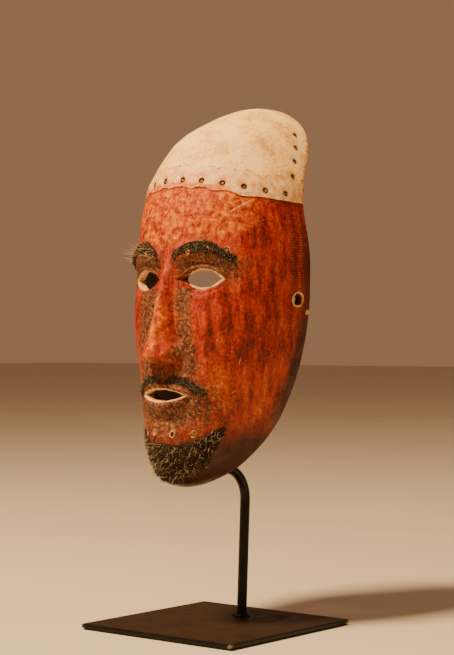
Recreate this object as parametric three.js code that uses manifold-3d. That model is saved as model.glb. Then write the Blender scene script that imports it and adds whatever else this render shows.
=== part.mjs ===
// A carved wooden face mask with a pegged rawhide cap, hanging on a bent steel display stand.
// Millimetres, +Z up. The mask faces -Y, and the origin is the centre of the stand's underside.
import * as THREE from "three";
import { mergeVertices } from "three/addons/utils/BufferGeometryUtils.js";
import Module from "manifold-3d";

const wasm = await Module();
wasm.setup();

const GAP = 0.35; // clearance between neighbouring solids

// Stand
const PLATE_SIDE = 152.4; // a six inch square of steel
const PLATE_THICK = 3.2;
const PAD_THICK = 1.6;
const PAD_INSET = 1.2;
const PLATE_TOP = PAD_THICK + PLATE_THICK;
const POST_RADIUS = 4;
const POST_FOOT_Y = 32.5;
const POST_LEAN = 2.8; // degrees that the post leans back
const POST_RISE = 94; // straight length from the plate to the first bend
const POST_REACH = 30; // straight length that runs forward over the rim
const POST_UPRIGHT = 50; // straight length inside the mask
const REACH_SLOPE = 20; // degrees above level of the length that runs forward
const BEND_RADIUS = 26;
const UPPER_BEND_RADIUS = 14;
const ARM_RADIUS = 2.4;
const CROSSBAR_HALF = 33;
const SLEEVE_RADIUS = 3.9;
const SLEEVE_LENGTH = 20;
const BRACE_ABOVE_BEND = 22;
const CRADLE_SHARE = 0.8125; // where on the vault the two arms carry the mask
const CRADLE_TURN = 0.56;
const SLEEVE_OFFSET = 4.0; // from the vault to the tip of an arm

// Mask
const MASK_BOTTOM = 115;
const MASK_TOP = 420;
const MASK_HEIGHT = MASK_TOP - MASK_BOTTOM;
const MASK_HALF_WIDTH = 74;
const MASK_HALF_DEPTH = 90;
const MID_Y = 30; // the plane about which wall thickness is measured, front to back
const MID_Z = (MASK_TOP + MASK_BOTTOM) / 2;
const WALL = 7;
const SQUARENESS = 2.15; // exponent of the horizontal sections, 2 is an ellipse
const HIDE_THICK = 1.25;
const CAVITY_OVERRUN = 15; // the cutter of the hollow runs past the rim by this much

// Shares of the mask's height from chin to crown: [share, half width, front, rim].
// share runs from 0 at the lowest point to 1 at the highest, as an angle does round a pole.
const STATIONS = [
  [0.0, 0, -36, -36],
  [0.08, 17, -56, -25],
  [0.16, 33, -62, -6],
  [0.28, 54, -64, 14],
  [0.42, 70, -63, 25],
  [0.55, 74, -60, 26],
  [0.665, 66, -53, 27],
  [0.78, 51, -30, 53],
  [0.87, 35, 10, 60],
  [1.0, 0, 58, 58],
];

// Face, on the usual proportions of a head: the eyes half way down, the nose ending at 0.72 of it.
const CHIN_Z = MASK_BOTTOM + 20; // the beard hangs below the chin
const HEAD_HEIGHT = MASK_TOP - CHIN_Z;
const BROW_Z = MASK_TOP - 0.447 * HEAD_HEIGHT;
const EYE_Z = MASK_TOP - 0.5 * HEAD_HEIGHT;
const NOSE_Z = MASK_TOP - 0.723 * HEAD_HEIGHT;
const MOUTH_Z = MASK_TOP - 0.815 * HEAD_HEIGHT;
const EYE_WIDTH = (2 * MASK_HALF_WIDTH) / 5; // a head is five eyes wide
const EYE_X = EYE_WIDTH;
const EYE_HALF_HEIGHT = 7;
const MOUTH_HALF_WIDTH = 21;
const MOUTH_HALF_HEIGHT = 4.5;

// Hair
const HAIRLINE_Z = 349;
const HAIRLINE_DROP = 11; // how much lower the hide's edge is at the temples
const PEG_RADIUS = 1.6;
const PEG_HOLE_RADIUS = 2.1;
const PEG_SIDES = 6; // whittled, so faceted
const PEG_ABOVE_EDGE = 6;
const TIE_HOLE_RADIUS = 5;
const TIE_HOLE_Y = 12;
const TIE_HOLE_Z = 262;

const degrees = THREE.MathUtils.degToRad;
const bump = (distance, width) => Math.exp(-((distance / width) ** 2));
const group = new THREE.Group();

const finishes = {
  wood: { color: "#a33a1c", roughness: 0.45 },
  rawhide: { color: "#e6cfa4", roughness: 0.7 },
  hairyHide: { color: "#3b2a1c", roughness: 0.95 },
  peg: { color: "#b08a55", roughness: 0.8 },
  steel: { color: "#1d1815", roughness: 0.45, metalness: 0.6 },
  rubber: { color: "#161616", roughness: 0.8 },
};

function add(name, solid, finish) {
  const geometry = solid.isBufferGeometry ? solid : geometryOf(solid);
  const mesh = new THREE.Mesh(geometry, new THREE.MeshStandardMaterial(finishes[finish]));
  mesh.name = name;
  group.add(mesh);
}

// ---- solids ----

function solidOf(geometry) {
  const bare = new THREE.BufferGeometry();
  bare.setAttribute("position", geometry.getAttribute("position"));
  if (geometry.index) bare.setIndex(geometry.index);
  const merged = mergeVertices(bare, 1e-4);
  const kept = [];
  const index = merged.index.array;
  for (let i = 0; i < index.length; i += 3) {
    const [a, b, c] = index.slice(i, i + 3);
    if (a !== b && b !== c && c !== a) kept.push(a, b, c);
  }
  const mesh = new wasm.Mesh({
    numProp: 3,
    vertProperties: merged.getAttribute("position").array,
    triVerts: new Uint32Array(kept),
  });
  return new wasm.Manifold(mesh);
}

function geometryOf(solid) {
  const { vertProperties, triVerts } = solid.getMesh();
  return new THREE.BufferGeometry()
    .setAttribute("position", new THREE.BufferAttribute(vertProperties, 3))
    .setIndex(new THREE.BufferAttribute(triVerts, 1));
}

// A closed body through loops of points that run anticlockwise, seen from above, lowest loop first.
// The first and last loops are folded flat.
function loft(loops) {
  const count = loops[0].length;
  const index = [];
  for (let row = 0; row < loops.length - 1; row++)
    for (let i = 0; i < count; i++) {
      const [a, b] = [row * count + i, row * count + ((i + 1) % count)];
      index.push(a, b, b + count, a, b + count, a + count);
    }
  const geometry = new THREE.BufferGeometry().setFromPoints(loops.flat());
  return solidOf(geometry.setIndex(index));
}

// A prism of an outline drawn in x and z, running from one y to another.
function prism(outline, fromY, toY) {
  const depth = toY - fromY;
  const geometry = new THREE.ExtrudeGeometry(outline, { depth, bevelEnabled: false, curveSegments: 5 });
  return solidOf(geometry.rotateX(Math.PI / 2).translate(0, toY, 0));
}

function cylinder(radius, sides, from, to, endRadius = radius) {
  const axis = to.clone().sub(from);
  const geometry = new THREE.CylinderGeometry(endRadius, radius, axis.length(), sides);
  const turn = new THREE.Quaternion().setFromUnitVectors(new THREE.Vector3(0, 1, 0), axis.clone().normalize());
  const middle = from.clone().add(to).multiplyScalar(0.5);
  return geometry.applyQuaternion(turn).translate(middle.x, middle.y, middle.z);
}

// ---- the mask's surface ----

// A smooth curve through the stations, with slopes taken from each station's neighbours.
function stationAt(share) {
  const last = STATIONS.length - 2;
  let i = 0;
  while (i < last && STATIONS[i + 1][0] < share) i++;
  const [a, b] = [STATIONS[i], STATIONS[i + 1]];
  const before = STATIONS[Math.max(i - 1, 0)];
  const after = STATIONS[Math.min(i + 2, STATIONS.length - 1)];
  const span = b[0] - a[0];
  const t = (share - a[0]) / span;
  return [1, 2, 3].map((k) => {
    const slopeA = ((b[k] - before[k]) / (b[0] - before[0])) * span;
    const slopeB = ((after[k] - a[k]) / (after[0] - a[0])) * span;
    const rise = b[k] - a[k];
    return a[k] + t * (slopeA + t * (3 * rise - 2 * slopeA - slopeB + t * (slopeA + slopeB - 2 * rise)));
  });
}

const shareAt = (z) => Math.acos(1 - (2 * (z - MASK_BOTTOM)) / MASK_HEIGHT) / Math.PI;

// How far the carving stands out of the plain shell towards -Y.
function carving(x, z) {
  const side = Math.abs(x);
  const down = THREE.MathUtils.clamp((EYE_Z + 8 - z) / (EYE_Z + 8 - NOSE_Z), 0, 1);
  const halfNose = 8 + 10 * down;
  const ridge = Math.max(0, 1 - (side / halfNose) ** 2) ** 1.4;
  const base = THREE.MathUtils.smoothstep(z, NOSE_Z - 3, NOSE_Z + 1);
  const bridge = 1 - THREE.MathUtils.smoothstep(z, EYE_Z + 4, BROW_Z);
  const nose = (4 + 21 * down) * ridge * base * bridge;
  const brow = 3.5 * bump(z - BROW_Z - 4 + 0.006 * (side - 26) ** 2, 7) * bump(side - 26, 26);
  const socket = -4 * bump(side - EYE_X, 19) * bump(z - EYE_Z, 12);
  const cheek = 3 * bump(side - 42, 20) * bump(z - NOSE_Z - 28, 24);
  const lips = 5 * bump(side, 20) * bump(z - MOUTH_Z, 11);
  const chin = 4 * bump(side, 22) * bump(z - CHIN_Z - 10, 12);
  return nose + brow + socket + cheek + lips + chin;
}

// A point of the surface: share goes up, turn goes from the right rim (-90 degrees) to the left rim.
// grow thickens or thins the body evenly on every side.
function maskPoint(share, turn, grow = 0, carved = true) {
  const [halfWidth, front, rim] = stationAt(share);
  const power = 2 / SQUARENESS;
  const x = halfWidth * Math.sign(turn) * Math.abs(Math.sin(turn)) ** power;
  const z = MASK_BOTTOM + (MASK_HEIGHT * (1 - Math.cos(Math.PI * share))) / 2;
  const plain = rim - (rim - front) * Math.max(0, Math.cos(turn)) ** power;
  const y = plain - (carved ? carving(x, z) : 0) * Math.max(0, Math.cos(turn));
  return new THREE.Vector3(
    x * (1 + grow / MASK_HALF_WIDTH),
    MID_Y + (y - MID_Y) * (1 + grow / MASK_HALF_DEPTH),
    MID_Z + (z - MID_Z) * (1 + (2 * grow) / MASK_HEIGHT),
  );
}

function outwardAt(share, turn) {
  const step = 0.01;
  const up = maskPoint(share + step, turn, 0, false).sub(maskPoint(share - step, turn, 0, false));
  const along = maskPoint(share, turn + step, 0, false).sub(maskPoint(share, turn - step, 0, false));
  return along.cross(up).normalize();
}

// Rows lie close together over the face, where the carving is: first under the chin, then from the
// chin to the lips, up to the nose, up to the eyes, and up the forehead.
const rowsFrom = (from, to, count) => Array.from({ length: count }, (_, i) => from + ((to - from) * i) / count);
const faceHeights = [
  ...rowsFrom(134, MOUTH_Z - 8, 4),
  ...rowsFrom(MOUTH_Z - 8, NOSE_Z - 3, 4),
  ...rowsFrom(NOSE_Z - 3, NOSE_Z + 2, 1),
  ...rowsFrom(NOSE_Z + 2, EYE_Z - 12, 5),
  ...rowsFrom(EYE_Z - 12, BROW_Z + 14, 5),
  ...rowsFrom(BROW_Z + 14, HAIRLINE_Z, 3),
];
const rowShares = [0, 0.05, 0.11, ...faceHeights.map(shareAt), 0.67, 0.72, 0.77, 0.82, 0.87, 0.93, 1];
const cavityShares = Array.from({ length: 17 }, (_, i) => i / 16);

// The mask as one solid block. overrun carries its flat back on past the rim.
function block(shares, columns, grow, carved, overrun = 0) {
  const loops = shares.map((share) => {
    const loop = Array.from({ length: columns + 1 }, (_, i) => {
      const a = (2 * i) / columns - 1;
      return maskPoint(share, (Math.PI / 2) * (0.62 * a + 0.38 * a ** 3), grow, carved);
    });
    if (overrun === 0) return loop;
    const [right, left] = [loop[0].clone(), loop[columns].clone()];
    right.y += overrun;
    left.y += overrun;
    return [...loop, left, right];
  });
  return loft(loops);
}

// ---- pegs ----

const pegs = [];
const emptyHoles = [];

function place(name, z, turnDegrees) {
  const [share, turn] = [shareAt(z), degrees(turnDegrees)];
  const at = maskPoint(share, turn);
  const out = outwardAt(share, turn);
  const hole = { name, at, out };
  (name ? pegs : emptyHoles).push(hole);
}

const hairline = (x) => HAIRLINE_Z - HAIRLINE_DROP * (x / 65) ** 2;
const CAP_PEGS = 11;
for (let i = 0; i < CAP_PEGS; i++) {
  const turn = 5 + 14.3 * (i - 5);
  const x = maskPoint(shareAt(HAIRLINE_Z), degrees(turn)).x;
  place(`cap_peg_${String(i + 1).padStart(2, "0")}`, hairline(x) + PEG_ABOVE_EDGE, turn);
}
const RIM_PEG_HEIGHTS = [359, 372, 384, 395];
const BEARD_ROWS = [
  { z: 158, turns: [-27, -9, 9, 27, 43] },
  { z: 144, turns: [-34, 0, 34] },
];
RIM_PEG_HEIGHTS.forEach((z, i) => {
  place(`rim_peg_right_${i + 1}`, z, -81);
  place(`rim_peg_left_${i + 1}`, z, 81);
});
for (let i = 0; i < 3; i++) {
  const z = BROW_Z + 9 - 2.5 * (i - 1) ** 2;
  place(`brow_peg_right_${i + 1}`, z, -(15 + 11 * i));
  place(`brow_peg_left_${i + 1}`, z, 15 + 11 * i);
}
BEARD_ROWS.forEach(({ z, turns }, row) =>
  turns.forEach((turn, i) => place((i + row) % 2 ? `beard_peg_${row + 1}_${i + 1}` : null, z, turn)),
);

const pegSolid = (hole, radius, inner, outer) => {
  const [from, to] = [inner, outer].map((d) => hole.at.clone().addScaledVector(hole.out, d));
  return cylinder(radius, PEG_SIDES, from, to);
};
const pegHoles = wasm.Manifold.union(
  [...pegs, ...emptyHoles].map((hole) => solidOf(pegSolid(hole, PEG_HOLE_RADIUS, -16, 8))),
);

// ---- the mask's pieces ----

// A lens: two arcs that meet in points at its ends.
function lens(x, z, halfWidth, halfHeight) {
  const shape = new THREE.Shape();
  shape.moveTo(x - halfWidth, z);
  shape.quadraticCurveTo(x, z - 2 * halfHeight, x + halfWidth, z);
  shape.quadraticCurveTo(x, z + 2 * halfHeight, x - halfWidth, z);
  return shape;
}

const FRONT = -130; // in front of everything
const COLUMNS = 28;
const CAVITY_COLUMNS = 16;
const solidMask = block(rowShares, COLUMNS, 0, true);
const cavity = block(cavityShares, CAVITY_COLUMNS, -WALL, false, CAVITY_OVERRUN);
const skin = block(rowShares, COLUMNS, GAP + HIDE_THICK, true).subtract(
  block(rowShares, COLUMNS, GAP, true, CAVITY_OVERRUN),
);

const openings = [
  ...[-EYE_X, EYE_X].map((x) => prism(lens(x, EYE_Z, EYE_WIDTH / 2, EYE_HALF_HEIGHT), FRONT, -20)),
  prism(lens(0, MOUTH_Z, MOUTH_HALF_WIDTH, MOUTH_HALF_HEIGHT), FRONT, -20),
];
const tieHoles = solidOf(
  cylinder(
    TIE_HOLE_RADIUS,
    12,
    new THREE.Vector3(-2 * MASK_HALF_WIDTH, TIE_HOLE_Y, TIE_HOLE_Z),
    new THREE.Vector3(2 * MASK_HALF_WIDTH, TIE_HOLE_Y, TIE_HOLE_Z),
  ),
);
const cuts = wasm.Manifold.union([cavity, tieHoles, pegHoles, ...openings]);
add("mask_shell", solidMask.subtract(cuts), "wood");

// A piece of the thin skin inside an outline drawn from the front, with its peg holes.
const patch = (outline) => skin.intersect(prism(outline, FRONT, 100)).subtract(pegHoles);

const capOutline = new THREE.Shape();
const CAP_EDGE_STEPS = 12;
for (let i = 0; i <= CAP_EDGE_STEPS; i++) {
  const x = -78 + (156 * i) / CAP_EDGE_STEPS;
  if (i === 0) capOutline.moveTo(x, hairline(x));
  else capOutline.lineTo(x, hairline(x));
}
capOutline.lineTo(78, MASK_TOP + 20).lineTo(-78, MASK_TOP + 20);
add("hide_cap", patch(capOutline), "rawhide");

// An arched strip above one eye.
function browStrip(side) {
  const shape = new THREE.Shape();
  const [inner, outer] = [side * 8, side * 52];
  const middle = side * 29;
  shape.moveTo(inner, BROW_Z - 1).quadraticCurveTo(middle, BROW_Z + 12, outer, BROW_Z - 6);
  shape.lineTo(outer, BROW_Z + 2).quadraticCurveTo(middle, BROW_Z + 23, inner, BROW_Z + 6);
  return shape;
}

// A patch of moustache beside the mouth.
function moustachePatch(side) {
  const shape = new THREE.Shape();
  shape.moveTo(side * 6, MOUTH_Z + 13).quadraticCurveTo(side * 22, MOUTH_Z + 17, side * 34, MOUTH_Z + 2);
  shape.quadraticCurveTo(side * 30, MOUTH_Z - 4, side * 27, MOUTH_Z + 2);
  shape.quadraticCurveTo(side * 18, MOUTH_Z + 9, side * 6, MOUTH_Z + 9);
  return shape;
}

// The beard follows the jaw under the lip.
function beardPatch() {
  const shape = new THREE.Shape();
  shape.moveTo(-41, 163).quadraticCurveTo(-22, 148, 0, 150).quadraticCurveTo(22, 148, 41, 163);
  shape.quadraticCurveTo(36, 126, 0, 119).quadraticCurveTo(-36, 126, -41, 163);
  return shape;
}

for (const [name, side] of [["right", -1], ["left", 1]]) {
  add(`brow_hide_${name}`, patch(browStrip(side)), "hairyHide");
  add(`moustache_hide_${name}`, patch(moustachePatch(side)), "hairyHide");
}
add("beard_hide", patch(beardPatch()), "hairyHide");
for (const hole of pegs) add(hole.name, pegSolid(hole, PEG_RADIUS, -WALL, HIDE_THICK + GAP), "peg");

// ---- the stand ----

// A rod swept along straight lengths and bends in a plane of constant x. moves lists lengths and
// [radius, turn] bends, where a positive turn bends it towards -Y.
function bentRod(radius, sides, start, heading, moves) {
  const points = [start.clone()];
  const at = start.clone();
  let angle = degrees(heading);
  const advance = (length) => {
    at.add(new THREE.Vector3(0, Math.cos(angle) * length, Math.sin(angle) * length));
    points.push(at.clone());
  };
  for (const move of moves) {
    if (typeof move === "number") {
      for (let i = 0; i < 4; i++) advance(move / 4);
      continue;
    }
    const [bendRadius, turn] = move;
    const parts = 6;
    const step = degrees(turn) / parts;
    for (let i = 0; i < parts; i++) {
      angle += step / 2;
      advance(2 * bendRadius * Math.sin(Math.abs(step) / 2));
      angle += step / 2;
    }
  }
  return { solid: sweep(radius, sides, points, 28), end: at };
}

function sweep(radius, sides, points, steps) {
  const section = new THREE.Shape();
  section.absarc(0, 0, radius, 0, 2 * Math.PI);
  const extrudePath = new THREE.CatmullRomCurve3(points, false, "centripetal");
  const outline = new THREE.Shape(section.getSpacedPoints(sides).slice(0, sides));
  return new THREE.ExtrudeGeometry(outline, { steps, extrudePath, bevelEnabled: false });
}

const plate = new THREE.BoxGeometry(PLATE_SIDE, PLATE_SIDE, PLATE_THICK);
add("base_plate", plate.translate(0, 0, PAD_THICK + PLATE_THICK / 2), "steel");
const padSide = PLATE_SIDE - 2 * PAD_INSET;
const padHeight = PAD_THICK - GAP;
add("base_pad", new THREE.BoxGeometry(padSide, padSide, padHeight).translate(0, 0, padHeight / 2), "rubber");

const foot = new THREE.Vector3(0, POST_FOOT_Y, PLATE_TOP + 2 * GAP);
const post = bentRod(POST_RADIUS, 10, foot, 90 - POST_LEAN, [
  POST_RISE,
  [BEND_RADIUS, 90 + POST_LEAN - REACH_SLOPE],
  POST_REACH,
  [UPPER_BEND_RADIUS, REACH_SLOPE - 90],
  POST_UPRIGHT,
]);
add("post", post.solid, "steel");

// The weld round the post's foot: a sloping bead.
const beadInner = POST_RADIUS + 1.6 * GAP; // wide enough for the post's lean
const beadProfile = [
  [beadInner, 0],
  [beadInner + 3.2, 0],
  [beadInner + 2.4, 1.4],
  [beadInner + 0.6, 3],
  [beadInner, 3],
  [beadInner, 0],
].map(([r, h]) => new THREE.Vector2(r, h));
const bead = new THREE.LatheGeometry(beadProfile, 14).rotateX(Math.PI / 2);
add("foot_weld", bead.translate(0, POST_FOOT_Y, PLATE_TOP + GAP), "steel");

const barZ = post.end.z + ARM_RADIUS + GAP;
const barY = post.end.y;
const barEnd = (side) => new THREE.Vector3(side * CROSSBAR_HALF, barY, barZ);
add("crossbar", cylinder(ARM_RADIUS, 10, barEnd(-1), barEnd(1)), "steel");

// A rubber sleeve closed at its far end, pushed over a rod's tip.
function sleeve(tip, direction) {
  const bore = ARM_RADIUS + GAP;
  const profile = [
    [0, 2.6],
    [SLEEVE_RADIUS * 0.6, 2.2],
    [SLEEVE_RADIUS, 0.4],
    [SLEEVE_RADIUS, -SLEEVE_LENGTH],
    [bore, -SLEEVE_LENGTH],
    [bore, GAP],
    [0, GAP],
  ].map(([r, h]) => new THREE.Vector2(r, h));
  const geometry = new THREE.LatheGeometry(profile.reverse(), 12);
  geometry.applyQuaternion(new THREE.Quaternion().setFromUnitVectors(new THREE.Vector3(0, 1, 0), direction));
  return geometry.translate(tip.x, tip.y, tip.z);
}

for (const [name, side] of [["right", -1], ["left", 1]]) {
  const root = new THREE.Vector3(side * (CROSSBAR_HALF - 3), barY, barZ + ARM_RADIUS + 1.3 * GAP);
  const crown = maskPoint(CRADLE_SHARE, side * CRADLE_TURN, -WALL, false);
  const tip = crown.addScaledVector(outwardAt(CRADLE_SHARE, side * CRADLE_TURN), -SLEEVE_OFFSET);
  const below = (drop) => tip.clone().setZ(tip.z - drop);
  const straight = [SLEEVE_LENGTH + 22, SLEEVE_LENGTH + 10, SLEEVE_LENGTH, SLEEVE_LENGTH / 2, 0].map(below);
  add(`arm_${name}`, sweep(ARM_RADIUS, 8, [root, ...straight], 16), "steel");
  add(`arm_sleeve_${name}`, sleeve(tip, new THREE.Vector3(0, 0, 1)), "rubber");
}

const braceZ = post.end.z - POST_UPRIGHT + BRACE_ABOVE_BEND;
const braceFrom = new THREE.Vector3(0, barY - POST_RADIUS - GAP, braceZ);
const chinWall = maskPoint(shareAt(braceZ), 0, -WALL, false);
const braceTip = new THREE.Vector3(0, chinWall.y + 3.3, braceZ);
add("chin_brace", cylinder(ARM_RADIUS, 10, braceFrom, braceTip), "steel");
add("chin_sleeve", sleeve(braceTip, new THREE.Vector3(0, -1, 0)), "rubber");

export default group;
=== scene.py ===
"""A carved wooden face mask with a pegged rawhide cap, on a bent steel display stand.

The carved shell, the hides, their hair, the pegs and the stand's rods are separate pieces. Shapes
are worked out in millimetres, in the frame's own axes, and become metres when a mesh is made.
"""

import logging
import math
from dataclasses import dataclass
from enum import Enum, StrEnum
from functools import partial
from typing import Any, Iterable, Sequence

import bmesh
import bpy
import numpy as np
from mathutils import Matrix, Vector


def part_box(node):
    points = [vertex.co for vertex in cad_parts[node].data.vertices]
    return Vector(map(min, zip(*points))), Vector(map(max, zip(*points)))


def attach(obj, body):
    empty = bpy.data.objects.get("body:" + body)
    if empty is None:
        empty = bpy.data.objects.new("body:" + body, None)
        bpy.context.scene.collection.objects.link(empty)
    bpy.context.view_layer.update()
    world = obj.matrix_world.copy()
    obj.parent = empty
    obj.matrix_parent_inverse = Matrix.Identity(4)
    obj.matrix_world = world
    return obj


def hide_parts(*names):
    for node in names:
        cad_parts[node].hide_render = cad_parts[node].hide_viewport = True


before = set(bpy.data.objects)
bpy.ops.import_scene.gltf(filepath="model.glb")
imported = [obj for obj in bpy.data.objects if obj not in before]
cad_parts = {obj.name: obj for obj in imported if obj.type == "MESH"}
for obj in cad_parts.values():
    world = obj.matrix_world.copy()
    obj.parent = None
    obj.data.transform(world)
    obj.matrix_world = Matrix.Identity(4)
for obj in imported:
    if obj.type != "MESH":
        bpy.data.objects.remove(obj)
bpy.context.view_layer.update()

LOG = logging.getLogger("mask")
MM = 0.001
FAR = 99.0
TURN = 2 * math.pi
UP = Vector((0.0, 0.0, 1.0))

Array = np.ndarray
Faces = list[Sequence[int]]
Piece = bpy.types.Object
Material = bpy.types.Material
Socket = bpy.types.NodeSocket
Point = tuple[float, float, float]


class Body(Enum):
    """The two rigid bodies of the object."""

    MASK = "mask"
    STAND = "stand"


class Slot(Enum):
    """Names for the material slots."""

    WOOD = "painted_wood"
    RAWHIDE = "rawhide"
    HAIRY_HIDE = "hairy_hide"
    PEG = "peg_wood"
    STEEL = "black_steel"
    SLEEVE = "rubber_sleeve"
    PAD = "pad_rubber"


# ---------------------------------------------------------------------------------------------
# Small mathematics


def smoothstep(low: float, high: float, value: Array) -> Array:
    """Rise smoothly from 0 at low to 1 at high."""
    t = np.clip((value - low) / (high - low), 0.0, 1.0)
    return t * t * (3.0 - 2.0 * t)


def bump(distance: Array, width: float) -> Array:
    """A bell of height 1 that has fallen to 0.37 at width."""
    return np.exp(-((distance / width) ** 2))


def turns(count: int) -> Array:
    """Evenly spaced turns round a circle, in radians."""
    return np.linspace(0.0, TURN, count, endpoint=False)


class Lattice:
    """Smooth random values on a cubic lattice, for the unevenness of hand work."""

    def __init__(self, seed: int, size: int = 32) -> None:
        """Fill a lattice that repeats after size points, from a fixed seed."""
        self.size = size
        self.values = np.random.default_rng(seed).uniform(-1.0, 1.0, (size, size, size))

    def at(self, points: Array, grain: float) -> Array:
        """Read the lattice.

        Args:
            points: positions in millimetres, with x, y and z last.
            grain: distance between lattice points in millimetres.

        Returns:
            One value from -1 to 1 for each point.
        """
        p = np.asarray(points) / grain + 100.0
        cell = np.floor(p).astype(int)
        f = p - cell
        f = f * f * (3.0 - 2.0 * f)
        total = np.zeros(p.shape[:-1])
        for corner in np.ndindex(2, 2, 2):
            weight = np.ones(p.shape[:-1])
            for axis, side in enumerate(corner):
                weight = weight * (f[..., axis] if side else 1.0 - f[..., axis])
            i, j, k = ((cell[..., axis] + side) % self.size for axis, side in enumerate(corner))
            total += weight * self.values[i, j, k]
        return total


# ---------------------------------------------------------------------------------------------
# Meshes


def place(name: str, data: bpy.types.ID) -> Piece:
    """Put a mesh, lamp or camera in the scene under a name."""
    piece = bpy.data.objects.new(name, data)
    bpy.context.scene.collection.objects.link(piece)
    return piece


def make_piece(name: str, points: Array, faces: Faces, smooth: bool = True) -> Piece:
    """Make a closed mesh object.

    Args:
        name: the object's name.
        points: vertices in millimetres.
        faces: vertex numbers of each face.
        smooth: whether its faces are shaded smooth.

    Returns:
        The object, at the origin, with its doubles merged and its faces pointing outwards.
    """
    mesh = bpy.data.meshes.new(name)
    vertices = (np.asarray(points).reshape(-1, 3) * MM).tolist()
    mesh.from_pydata(vertices, [], [list(map(int, f)) for f in faces])
    work = bmesh.new()
    work.from_mesh(mesh)
    bmesh.ops.remove_doubles(work, verts=work.verts, dist=2e-6)
    bmesh.ops.recalc_face_normals(work, faces=work.faces)
    for face in work.faces:
        face.smooth = smooth
    work.to_mesh(mesh)
    work.free()
    return place(name, mesh)


def ring_faces(rows: int, ring: int, closed: bool = False) -> Faces:
    """Join rows of points with four-sided faces.

    Args:
        rows: how many rows there are, each a closed ring.
        ring: how many points are in each.
        closed: whether the last row joins the first again.

    Returns:
        The faces.
    """
    faces = []
    for row in range(rows if closed else rows - 1):
        here, there = row * ring, (row + 1) % rows * ring
        for i in range(ring):
            j = (i + 1) % ring
            faces.append((here + i, here + j, there + j, there + i))
    return faces


def shade_smooth(piece: Piece, degrees: float) -> None:
    """Shade a piece smooth, apart from edges sharper than an angle."""
    for polygon in piece.data.polygons:
        polygon.use_smooth = True
    piece.data.set_sharp_from_angle(angle=math.radians(degrees))


def freeze(piece: Piece) -> Piece:
    """Turn a piece and its modifiers into a plain mesh.

    Args:
        piece: an object with live modifiers.

    Returns:
        The same object.
    """
    evaluated = piece.evaluated_get(bpy.context.evaluated_depsgraph_get())
    mesh = bpy.data.meshes.new_from_object(evaluated)
    piece.modifiers.clear()
    piece.data = mesh
    return piece


def cut(piece: Piece, cutter: Piece) -> None:
    """Take a cutter's volume out of a piece.

    Args:
        piece: the object to cut.
        cutter: a closed object, which is removed afterwards.
    """
    modifier = piece.modifiers.new("cut", "BOOLEAN")
    modifier.operation = "DIFFERENCE"
    modifier.solver = "MANIFOLD"
    modifier.object = cutter
    freeze(piece)
    discard(cutter)


def discard(piece: Piece) -> None:
    """Remove a helper object."""
    bpy.data.objects.remove(piece, do_unlink=True)


def join(pieces: Sequence[Piece]) -> Piece:
    """Join meshes into one.

    Args:
        pieces: the objects to join.

    Returns:
        The first of them; the others are removed.
    """
    work = bmesh.new()
    for piece in pieces:
        work.from_mesh(piece.data)
    work.to_mesh(pieces[0].data)
    work.free()
    for piece in pieces[1:]:
        discard(piece)
    return pieces[0]


def positions(piece: Piece) -> Array:
    """Read a piece's vertices.

    Args:
        piece: a mesh object.

    Returns:
        A row of x, y and z in millimetres for each vertex.
    """
    out = np.empty(len(piece.data.vertices) * 3, dtype=np.float32)
    piece.data.vertices.foreach_get("co", out)
    return out.reshape(-1, 3).astype(float) / MM


def set_masks(piece: Piece, **masks: Array) -> None:
    """Store numbers from 0 to 1 for each vertex, which a material reads by name."""
    for name, values in masks.items():
        layer = piece.data.attributes.new(name, "FLOAT", "POINT")
        layer.data.foreach_set("value", np.clip(values, 0.0, 1.0).astype(np.float32))


def finish_piece(piece: Piece, body: Body, slot: Slot, material: Material, *nodes: str) -> None:
    """Dress a piece, fix it to its body and let it stand for its CAD nodes.

    Args:
        piece: the finished object.
        body: the body that it moves with.
        slot: the name of a material slot; not used.
        material: its material.
        *nodes: the CAD nodes that it stands for.
    """
    piece.data.materials.clear()
    piece.data.materials.append(material)
    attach(piece, body.value)
    if nodes:
        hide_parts(*nodes)
    triangles = sum(len(p.vertices) - 2 for p in piece.data.polygons)
    LOG.info("%s: %d triangles, body %s", piece.name, triangles, body.value)


def nodes_starting(*starts: str) -> list[str]:
    """The CAD nodes whose names start with any of these."""
    return [name for name in sorted(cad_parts) if name.startswith(starts)]


def box_mm(name: str) -> tuple[Vector, Vector]:
    """A CAD node's lowest and highest corners in millimetres."""
    low, high = (Vector(corner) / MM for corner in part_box(name))
    return low, high


# ---------------------------------------------------------------------------------------------
# Nodes


class Kind(StrEnum):
    """The node types that are used most."""

    BUMP = "ShaderNodeBump"
    CELLS = "ShaderNodeTexVoronoi"
    CLOUDS = "ShaderNodeTexNoise"
    MASK = "ShaderNodeAttribute"
    MATH = "ShaderNodeMath"
    MIX = "ShaderNodeMix"
    PALETTE = "ShaderNodeValToRGB"
    RANGE = "ShaderNodeMapRange"
    RANDOM = "FunctionNodeRandomValue"
    SPLIT = "ShaderNodeSeparateXYZ"
    STRETCH = "ShaderNodeMapping"
    VECTOR = "ShaderNodeVectorMath"


SMOOTH = {"interpolation_type": "SMOOTHSTEP"}
COLOURS = {"data_type": "RGBA"}


def linear(colour: str) -> tuple[float, float, float, float]:
    """Turn an sRGB hex colour to linear.

    Args:
        colour: a colour such as "#A0522D".

    Returns:
        Linear red, green, blue and alpha.
    """
    parts = [int(colour[i : i + 2], 16) / 255.0 for i in (1, 3, 5)]
    return (*(c / 12.92 if c <= 0.04045 else ((c + 0.055) / 1.055) ** 2.4 for c in parts), 1.0)


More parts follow.
